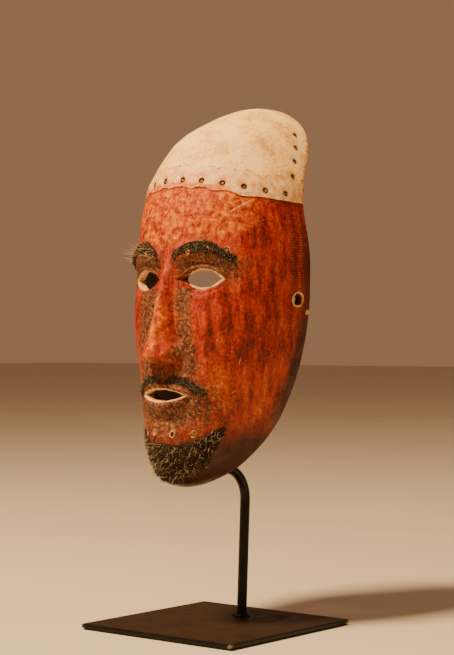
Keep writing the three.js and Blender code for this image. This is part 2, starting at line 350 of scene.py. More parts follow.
def add(
    tree: bpy.types.NodeTree,
    kind: str,
    settings: dict[str, Any] | str | None = None,
    inputs: dict[Any, Any] | Sequence[Any] = (),
    out: int | str = 0,
) -> Any:
    """Add a node with its settings and links.

    Args:
        tree: a shader or geometry node tree.
        kind: the node's type.
        settings: properties to set, or its operation alone; "stops" holds a palette's places and
            hex colours.
        inputs: sockets by name or number, or in their order, each a value, a hex colour or the
            socket that feeds it; "mm" is the size of a pattern's features in millimetres.
        out: the output to give back, by name or number.

    Returns:
        That output, or None from a node that has none.
    """
    node = tree.nodes.new(str(kind))
    settings = {"operation": settings} if isinstance(settings, str) else settings or {}
    for name, value in settings.items():
        if name != "stops":
            setattr(node, name, value)
            continue
        elements = node.color_ramp.elements
        while len(elements) < len(value):
            elements.new(0.5)
        for element, (where, colour) in zip(elements, value):
            element.position = where
            element.color = linear(colour)
    for name, value in inputs.items() if isinstance(inputs, dict) else enumerate(inputs):
        socket = node.inputs["Scale" if name == "mm" else name]
        if isinstance(value, Socket):
            tree.links.new(value, socket)
        elif isinstance(value, str) and value.startswith("#"):
            socket.default_value = linear(value)
        else:
            socket.default_value = 1000.0 / value if name == "mm" else value
    return node.outputs[out] if len(node.outputs) else None


class Shader:
    """A material under construction: its principled shader, and the tree that feeds it."""

    def __init__(self, name: str) -> None:
        """Start a material with only its shader and output."""
        self.material = bpy.data.materials.new(name)
        self.material.use_nodes = True
        self.tree = self.material.node_tree
        self.put = partial(add, self.tree)
        self.place = self.put("ShaderNodeTexCoord", out="Object")

    def each(self, kind: Kind, names: Sequence[str], rows: Iterable[Sequence[Any]]) -> list[Socket]:
        """Add a node for each row of a table.

        Args:
            kind: the nodes' type.
            names: the inputs that each row gives.
            rows: their values.

        Returns:
            The first output of each node.
        """
        return [self.put(kind, None, dict(zip(names, row))) for row in rows]

    def masks(self, *names: str) -> list[Socket]:
        """Read masks that are stored in the piece."""
        return [self.put(Kind.MASK, {"attribute_name": name}, out="Fac") for name in names]

    def ragged(self, mask: Socket, noise: Socket, amount: float, low: float, high: float) -> Socket:
        """Give a mask a ragged edge.

        Args:
            mask: the mask.
            noise: the pattern that breaks its edge up.
            amount: how much of the pattern is added to it.
            low: the sum that becomes 0.
            high: the sum that becomes 1.

        Returns:
            The ragged mask.
        """
        total = self.put(Kind.MATH, "MULTIPLY_ADD", (noise, amount, mask))
        return self.put(Kind.RANGE, SMOOTH, (total, low, high))

    def coats(self, colour: Any, *coats: tuple[Socket, float, Any]) -> Socket:
        """Lay colours over each other.

        Args:
            colour: the colour under them all.
            *coats: for each one where it lies, how strong it is there, and its colour.

        Returns:
            The colour that shows.
        """
        for where, strength, coat in coats:
            share = self.put(Kind.MATH, "MULTIPLY", (where, strength))
            colour = self.put(Kind.MIX, COLOURS, {0: share, 6: colour, 7: coat}, 2)
        return colour

    def scratch(self, x: float, z: float, slope: float, length: float, width: float) -> Socket:
        """A straight scratch as seen from the front.

        Args:
            x: its middle, in millimetres.
            z: its middle, in millimetres.
            slope: its slope in degrees.
            length: half its length in millimetres.
            width: half its width in millimetres.

        Returns:
            1 on the scratch and 0 off it.
        """
        away = self.put(Kind.VECTOR, "SUBTRACT", (self.place, (x * MM, 0.0, z * MM)))
        turned = {"Vector": away, "Angle": math.radians(slope)}
        turned = self.put("ShaderNodeVectorRotate", {"rotation_type": "Y_AXIS"}, turned)
        parts = self.put(Kind.SPLIT, None, (turned,)).node.outputs
        shares = []
        for part, half, core in ((parts["Z"], width, 0.3), (parts["X"], length, 0.5)):
            off = self.put(Kind.MATH, "ABSOLUTE", (part,))
            shares.append(self.put(Kind.RANGE, SMOOTH, (off, half * MM, core * half * MM)))
        return self.put(Kind.MATH, "MULTIPLY", shares)

    def finish(self, layers: Sequence[tuple[Socket, float]], **sockets: Any) -> Material:
        """Raise the surface, and set or feed the shader's sockets.

        Args:
            layers: height patterns and their depths in millimetres, the lowest first.
            **sockets: what each socket is given; an underscore stands for a space.

        Returns:
            The finished material.
        """
        for height, depth in layers:
            inputs = {"Height": height, "Distance": depth * MM, "Strength": 1.0}
            below = {"Normal": sockets["Normal"]} if "Normal" in sockets else {}
            sockets["Normal"] = self.put(Kind.BUMP, None, inputs | below)
        for name, value in sockets.items():
            socket = self.tree.nodes["Principled BSDF"].inputs[name.replace("_", " ")]
            if isinstance(value, Socket):
                self.tree.links.new(value, socket)
            else:
                socket.default_value = value
        return self.material


CLOUD_INPUTS = ("Vector", "mm", "Detail", "Roughness")


# ---------------------------------------------------------------------------------------------
# Finishes


@dataclass(frozen=True)
class EarthPaintOnWood:
    """Carved light hardwood, rubbed with red and orange ochre and darkened by handling, with painted
    highlights and shade.

    The paint lies in streaks along the grain and is worn through in specks. It has the low gloss
    of oiled wood, and the wood is bare and pale wherever an edge was cut through it.
    """

    deep: str = "#560D08"
    red: str = "#82180D"
    bright: str = "#A62C12"
    orange: str = "#BE5400"
    dark: str = "#1E0604"
    grime: str = "#4A3022"
    worn: str = "#BE5E2E"
    scratched: str = "#EDB682"
    bare: str = "#DDB283"
    inside: str = "#3E2614"

    def build(self) -> Material:
        """Build the material.

        Returns:
            Paint outside, dark old wood in the hollow, and pale wood at the cut edges.
        """
        s = Shader("earth_paint_on_carved_wood")
        put, here = s.put, s.place
        along, long_grain, cracked, stroked = (
            put(Kind.STRETCH, None, {"Vector": here, "Scale": (1.0, 1.0, share)})
            for share in (0.25, 0.16, 0.4, 0.45)
        )
        streak, patch, fine, grain, flame, soiled, spared, rubbed, edge, sheen, stroke, speck = s.each(
            Kind.CLOUDS,
            CLOUD_INPUTS,
            (
                (along, 7.0, 6.0, 0.66),
                (here, 30.0, 3.0, 0.55),
                (here, 2.4, 5.0, 0.78),
                (long_grain, 1.3, 3.0, 0.6),
                (here, 5.0, 6.0, 0.72),
                (here, 6.0, 6.0, 0.75),
                (here, 9.0, 3.0, 0.55),
                (here, 1.5, 3.0, 0.55),
                (here, 2.4, 3.0, 0.55),
                (here, 9.0, 4.0, 0.6),
                (stroked, 9.0, 2.0, 0.55),
                (here, 1.1, 3.0, 0.55),
            ),
        )
        glow, shade, dirty, bare, inner, tooled = s.masks(
            "glow", "shade", "grime", "bare", "inside", "tooled"
        )
        tone = put(Kind.MATH, "MULTIPLY_ADD", (streak, 0.55, put(Kind.MATH, "MULTIPLY", (fine, 0.45))))
        deep, red, bright, dark = self.deep, self.red, self.bright, self.dark
        stops = ((0.37, dark), (0.43, deep), (0.49, red), (0.55, bright), (0.62, self.worn))
        redder = put(Kind.PALETTE, {"stops": stops}, (tone,))
        stops = ((0.38, deep), (0.44, "#86200E"), (0.50, bright), (0.56, "#AC421A"), (0.63, "#C8763A"))
        browner = put(Kind.PALETTE, {"stops": stops}, (tone,))
        # The orange coat: orange paint, and painted highlights along the nose and on the left temple.
        stops = ((0.39, "#7A2002"), (0.45, "#A03A00"), (0.52, self.orange), (0.62, "#DC8A10"))
        ochre = put(Kind.PALETTE, {"stops": stops}, (flame,))
        stops = ((0.38, "#22130C"), (0.46, self.grime), (0.54, "#6E4A34"), (0.63, "#A47C50"))
        soil = put(Kind.PALETTE, {"stops": stops}, (fine,))
        stops = ((0.34, "#A97645"), (0.5, self.bare), (0.66, "#EBCB9C"))
        wood = put(Kind.PALETTE, {"stops": stops}, (grain,))
        stops = ((0.3, "#1D110A"), (0.5, self.inside), (0.72, "#5A3B25"))
        hollow = put(Kind.PALETTE, {"stops": stops}, (grain,))
        glow = s.ragged(glow, fine, 0.9, 0.72, 1.10)
        shade = s.ragged(shade, streak, 0.6, 0.55, 1.25)
        grime = s.ragged(dirty, soiled, 1.5, 0.90, 1.55)
        bare = s.ragged(bare, edge, 0.5, 0.66, 0.86)
        pit = put(Kind.CELLS, {"feature": "F1"}, {"Vector": here, "mm": 2.6})
        # Fine shrinkage cracks, longer along the grain than across it.
        crack = put(Kind.CELLS, {"feature": "DISTANCE_TO_EDGE"}, {"Vector": cracked, "mm": 2.6})
        # A gouge's closely spaced ripples near the rear rim.
        waves = {"Vector": here, "Scale": 150.0, "Distortion": 5.0, "Detail": 3.0, "Detail Scale": 0.6}
        bands = {"wave_type": "BANDS", "bands_direction": "Z"}
        ripple = put("ShaderNodeTexWave", bands, waves, "Fac")
        # A few scratches down to paler paint.
        scratches = s.scratch(-46.0, 248.0, 62.0, 5.0, 0.3)
        for marks in ((49.5, 333.0, 46.0, 7.5, 0.8), (52.0, 214.0, 74.0, 3.0, 0.25)):
            scratches = put(Kind.MATH, "MAXIMUM", (scratches, s.scratch(*marks)))
        pits, cracks, ripples, scratches = (
            put(Kind.MATH, "MULTIPLY", (put(Kind.RANGE, SMOOTH, shape), where))
            for shape, where in (
                ((pit, 0.34, 0.16), put(Kind.RANGE, SMOOTH, (dirty, 0.45, 0.8))),
                ((crack, 0.06, 0.015), put(Kind.RANGE, SMOOTH, (spared, 0.45, 0.62))),
                ((ripple, 0.35, 0.08), tooled),
                ((rubbed, 0.36, 0.5), scratches),
            )
        )
        paint = s.coats(
            redder,
            (put(Kind.RANGE, SMOOTH, (patch, 0.42, 0.60)), 1.0, browner),
            # Orange paint, and painted highlights.
            (glow, 1.0, ochre),
            # Painted shade, towards the jaw and the rear rim.
            (shade, 0.92, dark),
            (grime, 0.86, soil),
            (pits, 0.75, dark),
            (cracks, 0.5, dark),
            (ripples, 0.7, dark),
            (scratches, 0.8, self.scratched),
            (bare, 1.0, wood),
            (inner, 1.0, hollow),
        )
        matt = put(Kind.MATH, "MULTIPLY", (grime, 0.75))
        for other in (glow, bare, inner):
            matt = put(Kind.MATH, "MAXIMUM", (matt, other))
        gloss = put(Kind.RANGE, SMOOTH, (sheen, 0.35, 0.65, 0.32, 0.54))
        low = put(Kind.MATH, "MAXIMUM", (put(Kind.MATH, "MAXIMUM", (cracks, ripples)), pits))
        crust = put(Kind.MATH, "MULTIPLY_ADD", (fine, 0.8, put(Kind.MATH, "MULTIPLY", (dirty, speck))))
        crust = put(Kind.MATH, "MULTIPLY_ADD", (low, -0.4, crust))
        return s.finish(
            ((stroke, 0.6), (grain, 0.14), (crust, 0.34)),
            Base_Color=paint,
            Roughness=put(Kind.MATH, "MULTIPLY_ADD", (matt, 0.28, gloss)),
            IOR=1.47,
            Specular_IOR_Level=0.36,
        )


@dataclass(frozen=True)
class Rawhide:
    """Scraped, sun-dried rawhide: cream, matt, with fine pores, a stained edge and one hairline crack.

    Below the crack the hide is pinkish and chalky, and paint has crept up into its lower edge.
    """

    cream: str = "#FFD57C"
    straw: str = "#EDBC6C"
    chalk: str = "#F0C48C"
    stain: str = "#D4662A"
    pore: str = "#A27945"
    crack: str = "#5C3B20"
    crack_z: float = 366.5

    def build(self) -> Material:
        """Build the material.

        Returns:
            Cream hide above the crack, chalky below it, stained where the masks say.
        """
        s = Shader("scraped_rawhide")
        put, here = s.put, s.place
        cloud, fine, bend, chalked, broken, stained, thick, fold = s.each(
            Kind.CLOUDS,
            CLOUD_INPUTS,
            (
                (here, 22.0, 5.0, 0.6),
                (here, 2.6, 6.0, 0.78),
                (here, 17.0, 6.0, 0.62),
                (here, 6.0, 5.0, 0.7),
                (here, 11.0, 3.0, 0.55),
                (here, 4.0, 5.0, 0.7),
                (here, 8.0, 3.0, 0.55),
                (here, 12.0, 3.0, 0.55),
            ),
        )
        drop, edge, ring = s.masks("drop", "edge", "ring")
        tone = put(Kind.MATH, "MULTIPLY_ADD", (cloud, 0.45, put(Kind.MATH, "MULTIPLY", (fine, 0.55))))
        stops = ((0.37, "#C69A5C"), (0.45, self.straw), (0.49, self.cream), (0.57, "#FFE6AC"))
        hide = put(Kind.PALETTE, {"stops": stops}, (tone,))
        stops = ((0.38, "#CC8F52"), (0.47, "#E8B27C"), (0.54, self.chalk), (0.66, "#F8DFB6"))
        chalk = put(Kind.PALETTE, {"stops": stops}, (chalked,))
        stops = ((0.40, "#A03A16"), (0.50, self.stain), (0.60, "#E79A55"))
        ochre = put(Kind.PALETTE, {"stops": stops}, (fine,))
        # How far a point is above the crack, which wanders, and hangs lower at its ends.
        height = put(Kind.SPLIT, None, (here,), "Z")
        above = put(Kind.MATH, "MULTIPLY_ADD", (bend, 0.022, height))
        above = put(Kind.MATH, "MULTIPLY_ADD", (drop, 0.012, above))
        above = put(Kind.MATH, "SUBTRACT", (above, self.crack_z * MM + 0.011))
        chalky = put(Kind.RANGE, SMOOTH, (above, 0.0006, -0.0004))
        line = put(Kind.RANGE, SMOOTH, (put(Kind.MATH, "ABSOLUTE", (above,)), 0.0004, 0.0001))
        line = put(Kind.MATH, "MULTIPLY", (line, put(Kind.RANGE, SMOOTH, (broken, 0.42, 0.52))))
        pores = put(Kind.CELLS, {"feature": "F1"}, {"Vector": here, "mm": 1.5})
        pores = put(Kind.RANGE, SMOOTH, (pores, 0.24, 0.08))
        pores = put(Kind.MATH, "MULTIPLY", (pores, put(Kind.RANGE, SMOOTH, (thick, 0.44, 0.60))))
        colour = s.coats(
            hide,
            (chalky, 0.8, chalk),
            (line, 0.85, self.crack),
            (s.ragged(edge, stained, 1.0, 0.95, 1.30), 0.9, ochre),
            (pores, 0.6, self.pore),
            (ring, 0.8, self.crack),
        )
        dents = put(Kind.MATH, "MULTIPLY_ADD", (pores, 0.4, line))
        return s.finish(
            ((fold, 0.6), (fine, 0.3), (put(Kind.MATH, "SUBTRACT", (1.0, dents)), 0.35)),
            Base_Color=colour,
            Roughness=put(Kind.RANGE, SMOOTH, (cloud, 0.3, 0.7, 0.55, 0.74)),
            IOR=1.5,
        )


@dataclass(frozen=True)
class HairyHide:
    """Old dark hide under a mat of hair stubs, with soil caught in it: matt and rough all over."""

    night: str = "#0E0705"
    skin: str = "#1C0F08"
    soil: str = "#422710"
    dust: str = "#6E4C28"

    def build(self) -> Material:
        """Build the material.

        Returns:
            A hide that is near black, with brown soil.
        """
        s = Shader("old_hairy_hide")
        rows = ((s.place, 2.6, 5.0, 0.75), (s.place, 1.2, 4.0, 0.75))
        mat, stubs = s.each(Kind.CLOUDS, CLOUD_INPUTS, rows)
        stops = ((0.34, self.night), (0.5, self.skin), (0.64, self.soil), (0.76, self.dust))
        colour = s.put(Kind.PALETTE, {"stops": stops}, (mat,))
        return s.finish(((mat, 0.8), (stubs, 0.6)), Base_Color=colour, Roughness=0.85, IOR=1.5)


@dataclass(frozen=True)
class CoarseHair:
    """Coarse animal hair, mostly near black, some of it faded to straw: a weak gloss along the hair."""

    black: str = "#0F0805"
    brown: str = "#22130A"
    straw: str = "#9A7544"
    pale: str = "#E6D4AC"

    def build(self) -> Material:
        """Build the material.

        Returns:
            Hair whose colour follows each hair's own tone.
        """
        s = Shader("coarse_animal_hair")
        stops = ((0.0, self.black), (0.5, self.brown), (0.82, self.straw), (1.0, self.pale))
        colour = s.put(Kind.PALETTE, {"stops": stops}, s.masks("tone"))
        return s.finish((), Base_Color=colour, Roughness=0.6, IOR=1.55)


@dataclass(frozen=True)
class WhittledPeg:
    """Whittled hardwood pegs: pale end grain, grey with age, with dirt round the rim."""

    dirt: str = "#3A2615"
    aged: str = "#7B5A36"
    pale: str = "#C9A26A"

    def build(self) -> Material:
        """Build the material.

        Returns:
            Mottled end grain.
        """
        s = Shader("whittled_hardwood_peg")
        (grain,) = s.each(Kind.CLOUDS, CLOUD_INPUTS, ((s.place, 0.9, 4.0, 0.7),))
        stops = ((0.34, self.dirt), (0.5, self.aged), (0.68, self.pale))
        colour = s.put(Kind.PALETTE, {"stops": stops}, (grain,))
        return s.finish(((grain, 0.3),), Base_Color=colour, Roughness=0.75, IOR=1.5)


@dataclass(frozen=True)
class BlackPaintedSteel:
    """Mild steel under satin black paint: a faint orange peel, a brownish painted reflection on top and
    bright nicks at edges.
    """

    shadow: str = "#030202"
    paint: str = "#070504"
    # A brownish painted reflection on the top face.
    dust: str = "#35251A"
    metal: str = "#8C8078"

    def build(self) -> Material:
        """Build the material.

        Returns:
            Satin black, bare metal where it is nicked.
        """
        s = Shader("satin_black_painted_steel")
        put, here = s.put, s.place
        rows = ((here, 16.0, 4.0, 0.6), (here, 3.0, 4.0, 0.7), (here, 1.1, 2.0, 0.55))
        cloud, worn, peel = s.each(Kind.CLOUDS, CLOUD_INPUTS, rows)
        # The top face carries a brownish painted reflection, patchy with the cloud.
        top_reflection, nicked = s.masks("dust", "nick")
        thickness = put(Kind.RANGE, SMOOTH, (cloud, 0.25, 0.75, 0.45, 0.95))
        dust = put(Kind.MATH, "MULTIPLY", (top_reflection, thickness))
        nick = s.ragged(nicked, worn, 0.6, 1.22, 1.30)
        stops = ((0.3, self.shadow), (0.7, self.paint))
        paint = put(Kind.PALETTE, {"stops": stops}, (cloud,))
        gloss = put(Kind.RANGE, SMOOTH, (cloud, 0.3, 0.7, 0.30, 0.44))
        return s.finish(
            ((peel, 0.03), (cloud, 0.25)),
            Base_Color=s.coats(paint, (dust, 1.0, self.dust), (nick, 1.0, self.metal)),
            Metallic=nick,
            Roughness=put(Kind.MATH, "MULTIPLY_ADD", (dust, 0.25, gloss)),
            IOR=1.5,
            Specular_IOR_Level=0.22,
        )


@dataclass(frozen=True)
class BlackRubber:
    """Extruded black rubber: matt, slightly bloomed to grey."""

    name: str = "black_rubber_tube"
    base: str = "#141312"
    bloom: str = "#2A2725"

    def build(self) -> Material:
        """Build the material.

        Returns:
            Matt black with a grey bloom.
        """
        s = Shader(self.name)
        rows = ((s.place, 5.0, 4.0, 0.65), (s.place, 0.8, 2.0, 0.55))
        cloud, skin = s.each(Kind.CLOUDS, CLOUD_INPUTS, rows)
        stops = ((0.35, self.base), (0.7, self.bloom))
        colour = s.put(Kind.PALETTE, {"stops": stops}, (cloud,))
        rough = s.put(Kind.RANGE, SMOOTH, (cloud, 0.3, 0.7, 0.7, 0.85))
        return s.finish(((skin, 0.05),), Base_Color=colour, Roughness=rough, IOR=1.52)


@dataclass(frozen=True)
class PaleFloor:
    """A plain pale painted floor."""

    low: str = "#D2CCC2"
    base: str = "#D8D2C8"

    def build(self) -> Material:
        """Build the material.

        Returns:
            Two nearly equal tones in broad patches.
        """
        s = Shader("pale_floor")
        (cloud,) = s.each(Kind.CLOUDS, CLOUD_INPUTS, ((s.place, 400.0, 2.0, 0.55),))
        stops = ((0.3, self.low), (0.7, self.base))
        return s.finish((), Base_Color=s.put(Kind.PALETTE, {"stops": stops}, (cloud,)), Roughness=0.8)


# ---------------------------------------------------------------------------------------------
# The form of the mask


@dataclass(frozen=True)
class Lens:
    """A lens-shaped opening seen from the front, in millimetres."""

    x: float
    z: float
    half_width: float
    half_height: float

    def outside(self, x: Array, z: Array) -> Array:
        """Height above or below the lens's outline: negative inside it, and large past its ends."""
        along = (x - self.x) / self.half_width
        return np.abs(z - self.z) - self.half_height * (1.0 - along**2)


@dataclass(frozen=True)
class Hole:
    """A peg hole: its centre on the surface in millimetres, and the direction straight out of it."""

    centre: Point
    out: Point


@dataclass(frozen=True)
class MaskForm:
    """The mask's outer surface, by a share of its height and a turn from its middle line.

    Each station is a share of the height, then the half width, the front and the rim there. The
    face follows the usual proportions of a head: the eyes half way, the nose's end at 0.72 of it.
    """

    bottom: float = 115.0
    top: float = 420.0
    half_width: float = 74.0
    half_depth: float = 90.0
    mid_y: float = 30.0
    wall: float = 7.0
    squareness: float = 2.15
    eye_x: float = 29.6
    eye_z: float = 277.5
    eye_size: tuple[float, float] = (14.8, 7.0)
    brow_z: float = 292.6
    nose_z: float = 213.9
    mouth_z: float = 187.7
    mouth_size: tuple[float, float] = (21.0, 4.5)
    chin_z: float = 135.0
    hairline_z: float = 349.0
    hairline_drop: float = 11.0
    stations: tuple[tuple[float, float, float, float], ...] = (
        (0.0, 0, -36, -36),
        (0.08, 17, -56, -25),
        (0.16, 33, -62, -6),
        (0.28, 54, -64, 14),
        (0.42, 70, -63, 25),
        (0.55, 74, -60, 26),
        (0.665, 66, -53, 27),
        (0.78, 51, -30, 53),
        (0.87, 35, 10, 60),
        (1.0, 0, 58, 58),
    )

    @property
    def power(self) -> float:
        """The exponent that squares the horizontal sections."""
        return 2.0 / self.squareness

    @property
    def mid_z(self) -> float:
        """Half way up the mask."""
        return (self.bottom + self.top) / 2

    def eye(self, side: int) -> Lens:
        """The eye opening on one side."""
        return Lens(side * self.eye_x, self.eye_z, *self.eye_size)

    def mouth(self) -> Lens:
        """The mouth opening."""
        return Lens(0.0, self.mouth_z, *self.mouth_size)

    def station(self, share: Array) -> tuple[Array, Array, Array]:
        """Read the stations, smoothly between them.

        Args:
            share: shares of the height.

        Returns:
            The half width, the front and the rim at each share.
        """
        table = np.array(self.stations, dtype=float)
        knots, values = table[:, 0], table[:, 1:]
        slopes = np.empty_like(values)
        slopes[1:-1] = (values[2:] - values[:-2]) / (knots[2:] - knots[:-2])[:, None]
        slopes[0] = (values[1] - values[0]) / (knots[1] - knots[0])
        slopes[-1] = (values[-1] - values[-2]) / (knots[-1] - knots[-2])
        share = np.clip(np.asarray(share, dtype=float), 0.0, 1.0)
        i = np.clip(np.searchsorted(knots, share) - 1, 0, len(knots) - 2)
        span = (knots[i + 1] - knots[i])[..., None]
        t = (share - knots[i])[..., None] / span
        a, rise = values[i], values[i + 1] - values[i]
        first, last = slopes[i] * span, slopes[i + 1] * span
        out = a + t * (first + t * (3 * rise - 2 * first - last + t * (first + last - 2 * rise)))
        return out[..., 0], out[..., 1], out[..., 2]

    def share_at(self, z: Array) -> Array:
        """The share of the height at z."""
        c = 1.0 - 2.0 * (np.asarray(z, dtype=float) - self.bottom) / (self.top - self.bottom)
        return np.arccos(np.clip(c, -1.0, 1.0)) / math.pi

    def height_at(self, share: Array) -> Array:
        """The height z at a share."""
        return self.bottom + (self.top - self.bottom) * (1.0 - np.cos(math.pi * np.asarray(share))) / 2.0

    def hairline(self, x: Array) -> Array:
        """The height of the cap's lower edge."""
        return self.hairline_z - self.hairline_drop * (np.asarray(x) / 65.0) ** 2

    def carving(self, x: Array, z: Array) -> Array:
        """Work out how far the carved face stands out of the plain shell.

        Args:
            x: places across the face in millimetres.
            z: their heights.

        Returns:
            The relief in millimetres.
        """
        side = np.abs(x)
        return (
            self.nose(side, z)
            + self.brow(side, z)
            + self.eyes(side, z)
            + 3.2 * bump(side - 41.0, 19.0) * bump(z - 243.0, 22.0)
            - 1.8 * bump(side - 42.0, 15.0) * bump(z - 200.0, 17.0)
            + self.lower_face(side, z)
            + 1.1 * bump(side - 21.0, 19.0) * bump(z - 322.0, 15.0)
            - 1.6 * bump(side - 60.0, 12.0) * bump(z - 303.0, 22.0)
        )

    def nose(self, side: Array, z: Array) -> Array:
        """Shape the nose's ridge, end and wings.

        Args:
            side: distances from the middle line in millimetres.
            z: heights.

        Returns:
            The relief in millimetres.
        """
        down = np.clip((self.eye_z + 8 - z) / (self.eye_z + 8 - self.nose_z), 0.0, 1.0)
        half = 6.5 + 5.5 * down + 5.0 * smoothstep(0.62, 0.97, down)
        ridge = np.clip(1.0 - (side / half) ** 2, 0.0, 1.0) ** (1.35 - 0.35 * down)
        under = np.sqrt(np.clip(1.0 - (np.clip(218.5 - z, 0.0, 6.5) / 6.5) ** 2, 0.0, 1.0))
        bridge = 1.0 - smoothstep(self.eye_z + 2, self.brow_z + 4, z)
        nose = (4.5 + 19.0 * down**1.15) * ridge * under * bridge
        foot = smoothstep(211.0, 214.5, z)
        wing = 4.6 * bump(side - 12.6, 4.4) * bump(z - 220.0, 6.2) * foot
        groove = -1.3 * bump(side - 8.3, 1.8) * bump(z - 218.5, 5.0) * foot
        crease = -1.0 * bump(side - 18.6, 2.4) * bump(z - 219.0, 8.5)
        return nose + wing + groove + crease

    def brow(self, side: Array, z: Array) -> Array:
        """Shape the arched brow.

        Args:
            side: distances from the middle line in millimetres.
            z: heights.

        Returns:
            The relief in millimetres.
        """
        above = z - (self.brow_z + 3.6 - 0.0062 * (side - 24.0) ** 2)
        window = smoothstep(1.0, 9.0, side) * (1.0 - smoothstep(50.0, 64.0, side))
        return 4.2 * np.where(above < 0, bump(above, 3.6), bump(above, 10.0)) * window

    def eyes(self, side: Array, z: Array) -> Array:
        """Shape the socket and the lids round an eye.

        Args:
            side: distances from the middle line in millimetres.
            z: heights.

        Returns:
            The relief in millimetres.
        """
        socket = -4.6 * bump(side - self.eye_x, 18.0) * bump(z - self.eye_z - 1.0, 11.5)
        along = (side - self.eye_x) / self.eye_size[0]
        near = 1.0 - smoothstep(0.95, 1.35, np.abs(along))
        gap = self.eye(1).outside(side, z)
        upper = 1.9 * bump(gap - 2.6, 1.7) * near * (z > self.eye_z)
        fold = -0.9 * bump(gap - 5.8, 1.2) * near * (z > self.eye_z)
        lower = 1.3 * bump(gap - 2.4, 1.8) * near * (z <= self.eye_z)
        pouch = 0.9 * bump(gap - 7.0, 3.0) * near * (z <= self.eye_z)
        return socket + upper + fold + lower + pouch

    def lower_face(self, side: Array, z: Array) -> Array:
        """Shape the lips, and what lies between the nose and the chin's end.

        Args:
            side: distances from the middle line in millimetres.
            z: heights.

        Returns:
            The relief in millimetres.
        """
        muzzle = 4.2 * bump(side, 24.0) * bump(z - self.mouth_z - 2.0, 17.0)
        half_width, half_height = self.mouth_size
        opening = np.clip(half_height * (1.0 - (side / half_width) ** 2), 0.0, None)
        rise = z - self.mouth_z
        upper_edge = 11.5 * np.clip(1.0 - (side / 26.0) ** 2, 0.0, 1.0)
        upper_edge = upper_edge - 1.5 * bump(side, 3.2) + 0.8 * bump(side - 6.5, 4.0)
        lower_edge = 12.0 * np.clip(1.0 - (side / 25.0) ** 2, 0.0, 1.0)
        reach = np.where(rise > 0, upper_edge, lower_edge)
        across = np.clip((np.abs(rise) - opening) / np.maximum(reach - opening, 1.2), 0.0, 1.0)
        fullness = np.where(rise > 0, 2.7, 3.5) * smoothstep(27.0, 17.0, side)
        lips = fullness * np.sin(math.pi * across) ** 0.7
        philtrum = -0.9 * bump(side, 2.3) * smoothstep(198.0, 201.0, z) * smoothstep(213.0, 209.0, z)
        smile = -0.7 * bump(side - 25.0 - 4.0 * side / 26.0 * 0.3, 2.6) * bump(z - 204.0, 9.0)
        under_lip = -2.4 * bump(side, 19.0) * bump(z - 170.0, 5.0)
        chin = 4.6 * bump(side, 19.0) * bump(z - self.chin_z - 12.0, 12.5)
        return muzzle + lips + philtrum + smile + under_lip + chin

    def outer(self, share: Array, turn: Array, grow: Array | float = 0.0, uneven: bool = True) -> Array:
        """Points of the carved surface.

        Args:
            share: shares of the height.
            turn: turns from the middle line in radians, up to a quarter turn each way.
            grow: millimetres to stand off the surface.
            uneven: whether the carver's unevenness is in it.

        Returns:
            Points in millimetres.
        """
        share, turn = np.broadcast_arrays(share, turn)
        half_width, front, rim = self.station(share)
        facing = np.clip(np.cos(turn), 0.0, 1.0)
        x = half_width * np.sign(turn) * np.abs(np.sin(turn)) ** self.power
        y = rim - (rim - front) * facing**self.power
        z = self.height_at(share)
        y = y - self.carving(x, z) * facing
        points = np.stack([x, y, z], axis=-1)
        if uneven:
            drift = 0.55 * HAND.at(points, 34.0) + 0.28 * HAND.at(points + 50.0, 13.0)
            fade = np.sin(np.clip(share, 0.0, 1.0) * math.pi) ** 0.5
            points = points + self.outward(points) * (drift * fade)[..., None]
        sides = np.array([1 / self.half_width, 1 / self.half_depth, 2 / (self.top - self.bottom)])
        centre = np.array([0.0, self.mid_y, self.mid_z])
        return centre + (points - centre) * (1 + np.asarray(grow)[..., None] * sides)

    def outward(self, points: Array) -> Array:
        """Rough outward directions, as from an egg's middle."""
        spread = (points - np.array([0.0, 20.0, self.mid_z])) / np.array([74.0, 80.0, 152.0]) ** 2
        return spread / np.maximum(np.linalg.norm(spread, axis=-1, keepdims=True), 1e-9)

    def turn_at(self, x: Array, z: Array) -> Array:
        """Find where the surface has a given x at a given height.

        Args:
            x: places across the face in millimetres.
            z: their heights.

        Returns:
            Turns from the middle line in radians.
        """
        half_width = self.station(self.share_at(z))[0]
        ratio = np.clip(np.abs(x) / np.maximum(half_width, 1e-6), 0.0, 1.0)
        return np.sign(x) * np.arcsin(ratio ** (1.0 / self.power))

    def at_front(self, x: Array, z: Array, grow: Array | float = 0.0) -> Array:
        """The surface's points seen at x and z from the front, some way off it."""
        x, z = np.broadcast_arrays(np.asarray(x, dtype=float), np.asarray(z, dtype=float))
        return self.outer(self.share_at(z), self.turn_at(x, z), grow)

    def depth(self, points: Array) -> Array:
        """Work out about how deep points lie below the outer surface.

        Args:
            points: positions in millimetres.

        Returns:
            Depths in millimetres, negative above the surface.
        """
        half_width, front, rim = self.station(self.share_at(points[:, 2]))
        turn = self.turn_at(points[:, 0], points[:, 2])
        relief = self.carving(points[:, 0], points[:, 2]) * np.clip(np.cos(turn), 0.0, 1.0)
        across = np.abs(points[:, 0]) / np.maximum(half_width, 1.0)
        forward = np.clip((rim - points[:, 1] - relief) / np.maximum(rim - front, 1.0), 0.0, None)
        level = (across**self.squareness + forward**self.squareness) ** (1.0 / self.squareness)
        mix = across / np.maximum(across + forward, 1e-6)
        return (1.0 - level) * (mix * half_width + (1.0 - mix) * (rim - front))

